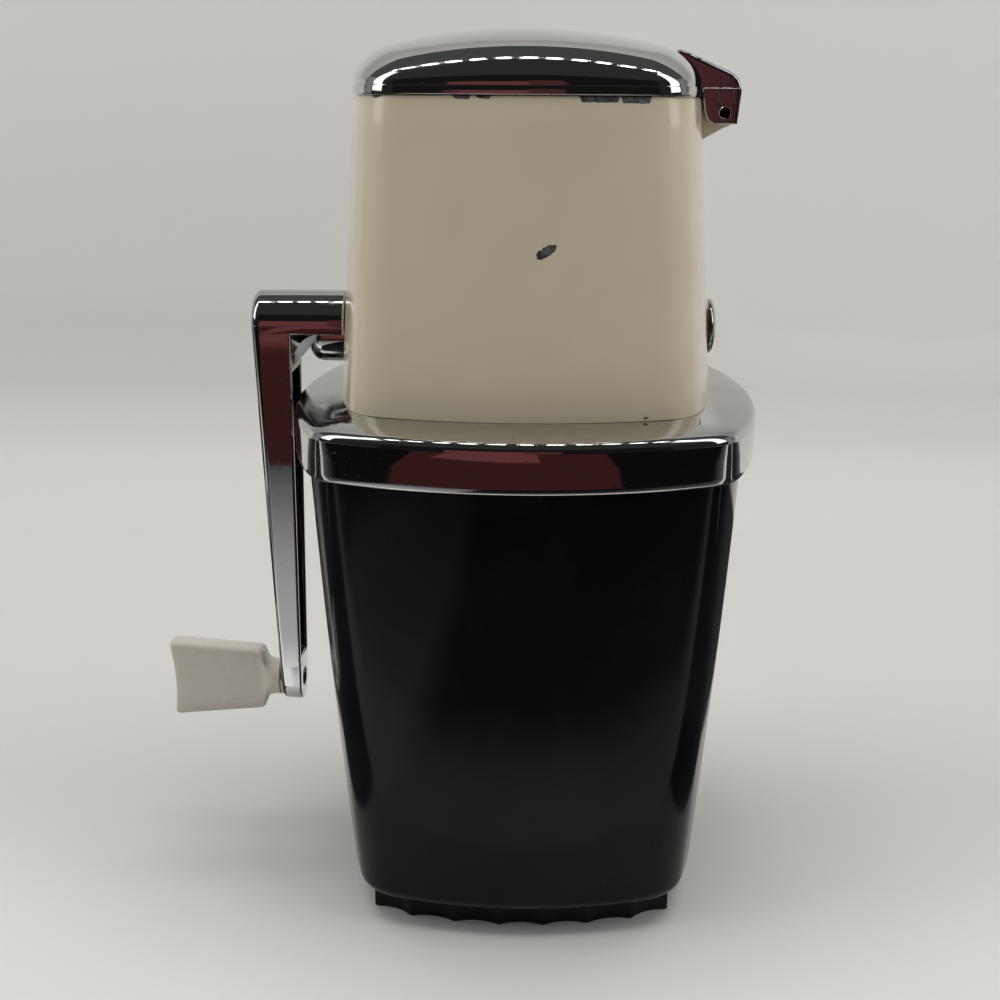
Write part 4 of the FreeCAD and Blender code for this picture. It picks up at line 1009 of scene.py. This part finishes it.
# %% A card that only reflections see
def make_card(name, corners, glow, colour=(1, 1, 1)):
    """A flat card with a glow that polished pieces reflect, and nothing else sees; glow may vary over it."""
    mesh = bmesh.new()
    for corner in corners:
        mesh.verts.new(corner)
    bmesh.ops.contextual_create(mesh, geom=mesh.verts)
    material, shader, blank, place, grain = start_finish(name)
    axes = split(place)
    level = glow(*axes) if callable(glow) else glow
    lit = level.tint((0, 0, 0), colour) if callable(glow) else (*(level * part for part in colour), 1)
    feed(shader, blank, Base_Color=(0, 0, 0, 1), Roughness=1.0, Emission_Color=lit, Emission_Strength=1.0)
    shader.inputs["Specular IOR Level"].default_value = 0
    card = finish_piece(mesh, name, None, material)
    card.visible_camera = card.visible_diffuse = card.visible_shadow = card.visible_transmission = False


def front_card(x0, x1, y, z0, z1):
    return [(x0, y, z0), (x1, y, z0), (x1, y, z1), (x0, y, z1)]


def side_card(x, y0, y1, z0, z1):
    return [(x, y0, z0), (x, y1, z0), (x, y1, z1), (x, y0, z1)]


def level_card(x0, x1, y0, y1, z):
    return [(x0, y0, z), (x1, y0, z), (x1, y1, z), (x0, y1, z)]


# %% [markdown]
# Some cards are brighter in one place than in another. A function of the place gives such a card its glow.

# %% The cards
def table_glow(x, y, z):
    """The table in front is lit near the crusher and at the left, and dark towards the room."""
    near = y.ramp(-0.17, -0.10) * 0.70 + y.ramp(-0.36, -0.12) * 0.10 + 0.005
    left = x.band(-0.30, -0.22, -0.10, -0.07) * y.ramp(-0.50, -0.15) * 0.42
    return near + left


def far_glow(x, y, z):
    """Beside the crusher the room is dark, with one thin pale stripe far out."""
    return y.band(0.055, 0.065, 0.075, 0.085) * 0.5 + y.ramp(0.20, 0.36) * 0.12 + 0.02


def ceiling_glow(x, y, z):
    """The ceiling darkens from above the crusher towards the room in front."""
    return y.ramp(-0.20, -0.02) * 0.045 + 0.035


ON_TABLE = 0.0006
WARM_OUTLINE = ((-0.31, -0.40), (0.21, -0.40), (0.50, -1.5), (-0.72, -1.5))
make_card("dim_table", level_card(-1.2, 1.2, -1.6, -0.088, ON_TABLE), table_glow)
make_card("warm_table", [(x, y, 2 * ON_TABLE) for x, y in WARM_OUTLINE], 1, (0.050, 0.014, 0.014))
make_card("red_cloth", level_card(-0.33, 0.05, -1.5, -0.72, 0.0014), 1, (0.16, 0.048, 0.050))
make_card("dark_room", front_card(-1.6, 1.6, -1.6, -0.01, 1.3), 0.010)
make_card("red_room", front_card(0.0, 0.264, -1.55, -0.01, 0.60), 1, (0.082, 0.028, 0.029))
make_card("red_chair", front_card(-0.60, 0.0, -1.55, -0.01, 0.50), 1, (0.16, 0.048, 0.050))
for side, name in ((-1, "left"), (1, "right")):
    beside, far = sorted((side * 0.095, side * 0.34)), sorted((side * 0.34, side * 1.30))
    make_card(f"dim_beside_{name}", level_card(*beside, -0.088, 0.34, ON_TABLE), 0.04)
    make_card(f"dim_far_{name}", level_card(*far, -0.088, 0.36, ON_TABLE), far_glow)
    make_card(f"dark_{name}", side_card(side * 1.32, -1.6, -0.1, 0, 1.3), 0.02)
    make_card(f"window_{name}", side_card(side * 0.60, -0.34, -0.09, 0.29, 1.24), 1.8)
make_card("dark_ceiling", level_card(-1.6, 1.6, -1.6, 0.60, 1.25), ceiling_glow, (0.92, 1.0, 0.98))
for number in range(13):
    left = -0.58 + number * 0.092
    make_card(f"ceiling_lamp_{number}", level_card(left, left + 0.055, -0.14, -0.07, 1.2), 8, (1, 0.97, 0.9))


# %% [markdown]
# Four wide lamps light the object softly. They are hidden from reflections, where the cards stand in for them.

# %% The lamps
def add_lamp(name, place, aim, size, power, colour=(1, 1, 1)):
    data = bpy.data.lights.new(name, "AREA")
    data.shape = "RECTANGLE"
    data.size, data.size_y = size
    data.energy = power
    data.color = colour
    lamp = bpy.data.objects.new(name, data)
    lamp.location = place
    lamp.rotation_euler = (Vector(aim) - Vector(place)).to_track_quat("-Z", "Y").to_euler()
    bpy.context.scene.collection.objects.link(lamp)
    return lamp


target = (0, 0, 0.13)
for lamp in (add_lamp("ceiling", (0, 0.05, 1.5), (0, 0.15, 0), (1.8, 1.0), 18),
             add_lamp("left_window", (-1.3, -0.1, 0.7), target, (0.9, 0.9), 5.0),
             add_lamp("right_window", (1.3, -0.2, 0.7), target, (0.9, 0.9), 4.8),
             add_lamp("front_fill", (0.1, -1.3, 1.3), target, (0.8, 0.5), 0.3)):
    lamp.visible_glossy = False
print("lamps:", [lamp.name for lamp in bpy.data.lights])
world = bpy.data.worlds.new("room")
world.use_nodes = True
world.node_tree.nodes["Background"].inputs[0].default_value = (0.80, 0.80, 0.78, 1)
world.node_tree.nodes["Background"].inputs[1].default_value = 0.31
bpy.context.scene.world = world

# %% [markdown]
# The camera stands where the photograph was taken from, close to the object and a little above it. Its focal
# length is in pixels of a picture 1000 wide, and the lens is worked out from that.

# %% The camera
FOCAL_PIXELS = 1350
PICTURE_PIXELS = 1000
SENSOR_WIDTH = 36
DISTANCE = 0.385
CAMERA_HEIGHT = 0.229
LOOK_DOWN = math.radians(16.5)
ROLL = math.radians(0.38)
ROUND_OBJECT = math.radians(0.6)
camera_data = bpy.data.cameras.new("camera")
camera_data.sensor_width = SENSOR_WIDTH
camera_data.lens = FOCAL_PIXELS / PICTURE_PIXELS * SENSOR_WIDTH
camera_data.shift_x = -0.025
camera = bpy.data.objects.new("camera", camera_data)
camera.location = (DISTANCE * math.sin(ROUND_OBJECT), -DISTANCE * math.cos(ROUND_OBJECT), CAMERA_HEIGHT)
turn = Matrix.Rotation(ROUND_OBJECT, 3, "Z") @ Matrix.Rotation(math.pi / 2 - LOOK_DOWN, 3, "X")
camera.rotation_euler = (turn @ Matrix.Rotation(ROLL, 3, "Z")).to_euler()
camera_data.clip_start = 0.01
bpy.context.scene.collection.objects.link(camera)
bpy.context.scene.camera = camera
bpy.context.scene.view_settings.view_transform = "Standard"
print("lens:", round(camera_data.lens, 1), "mm")
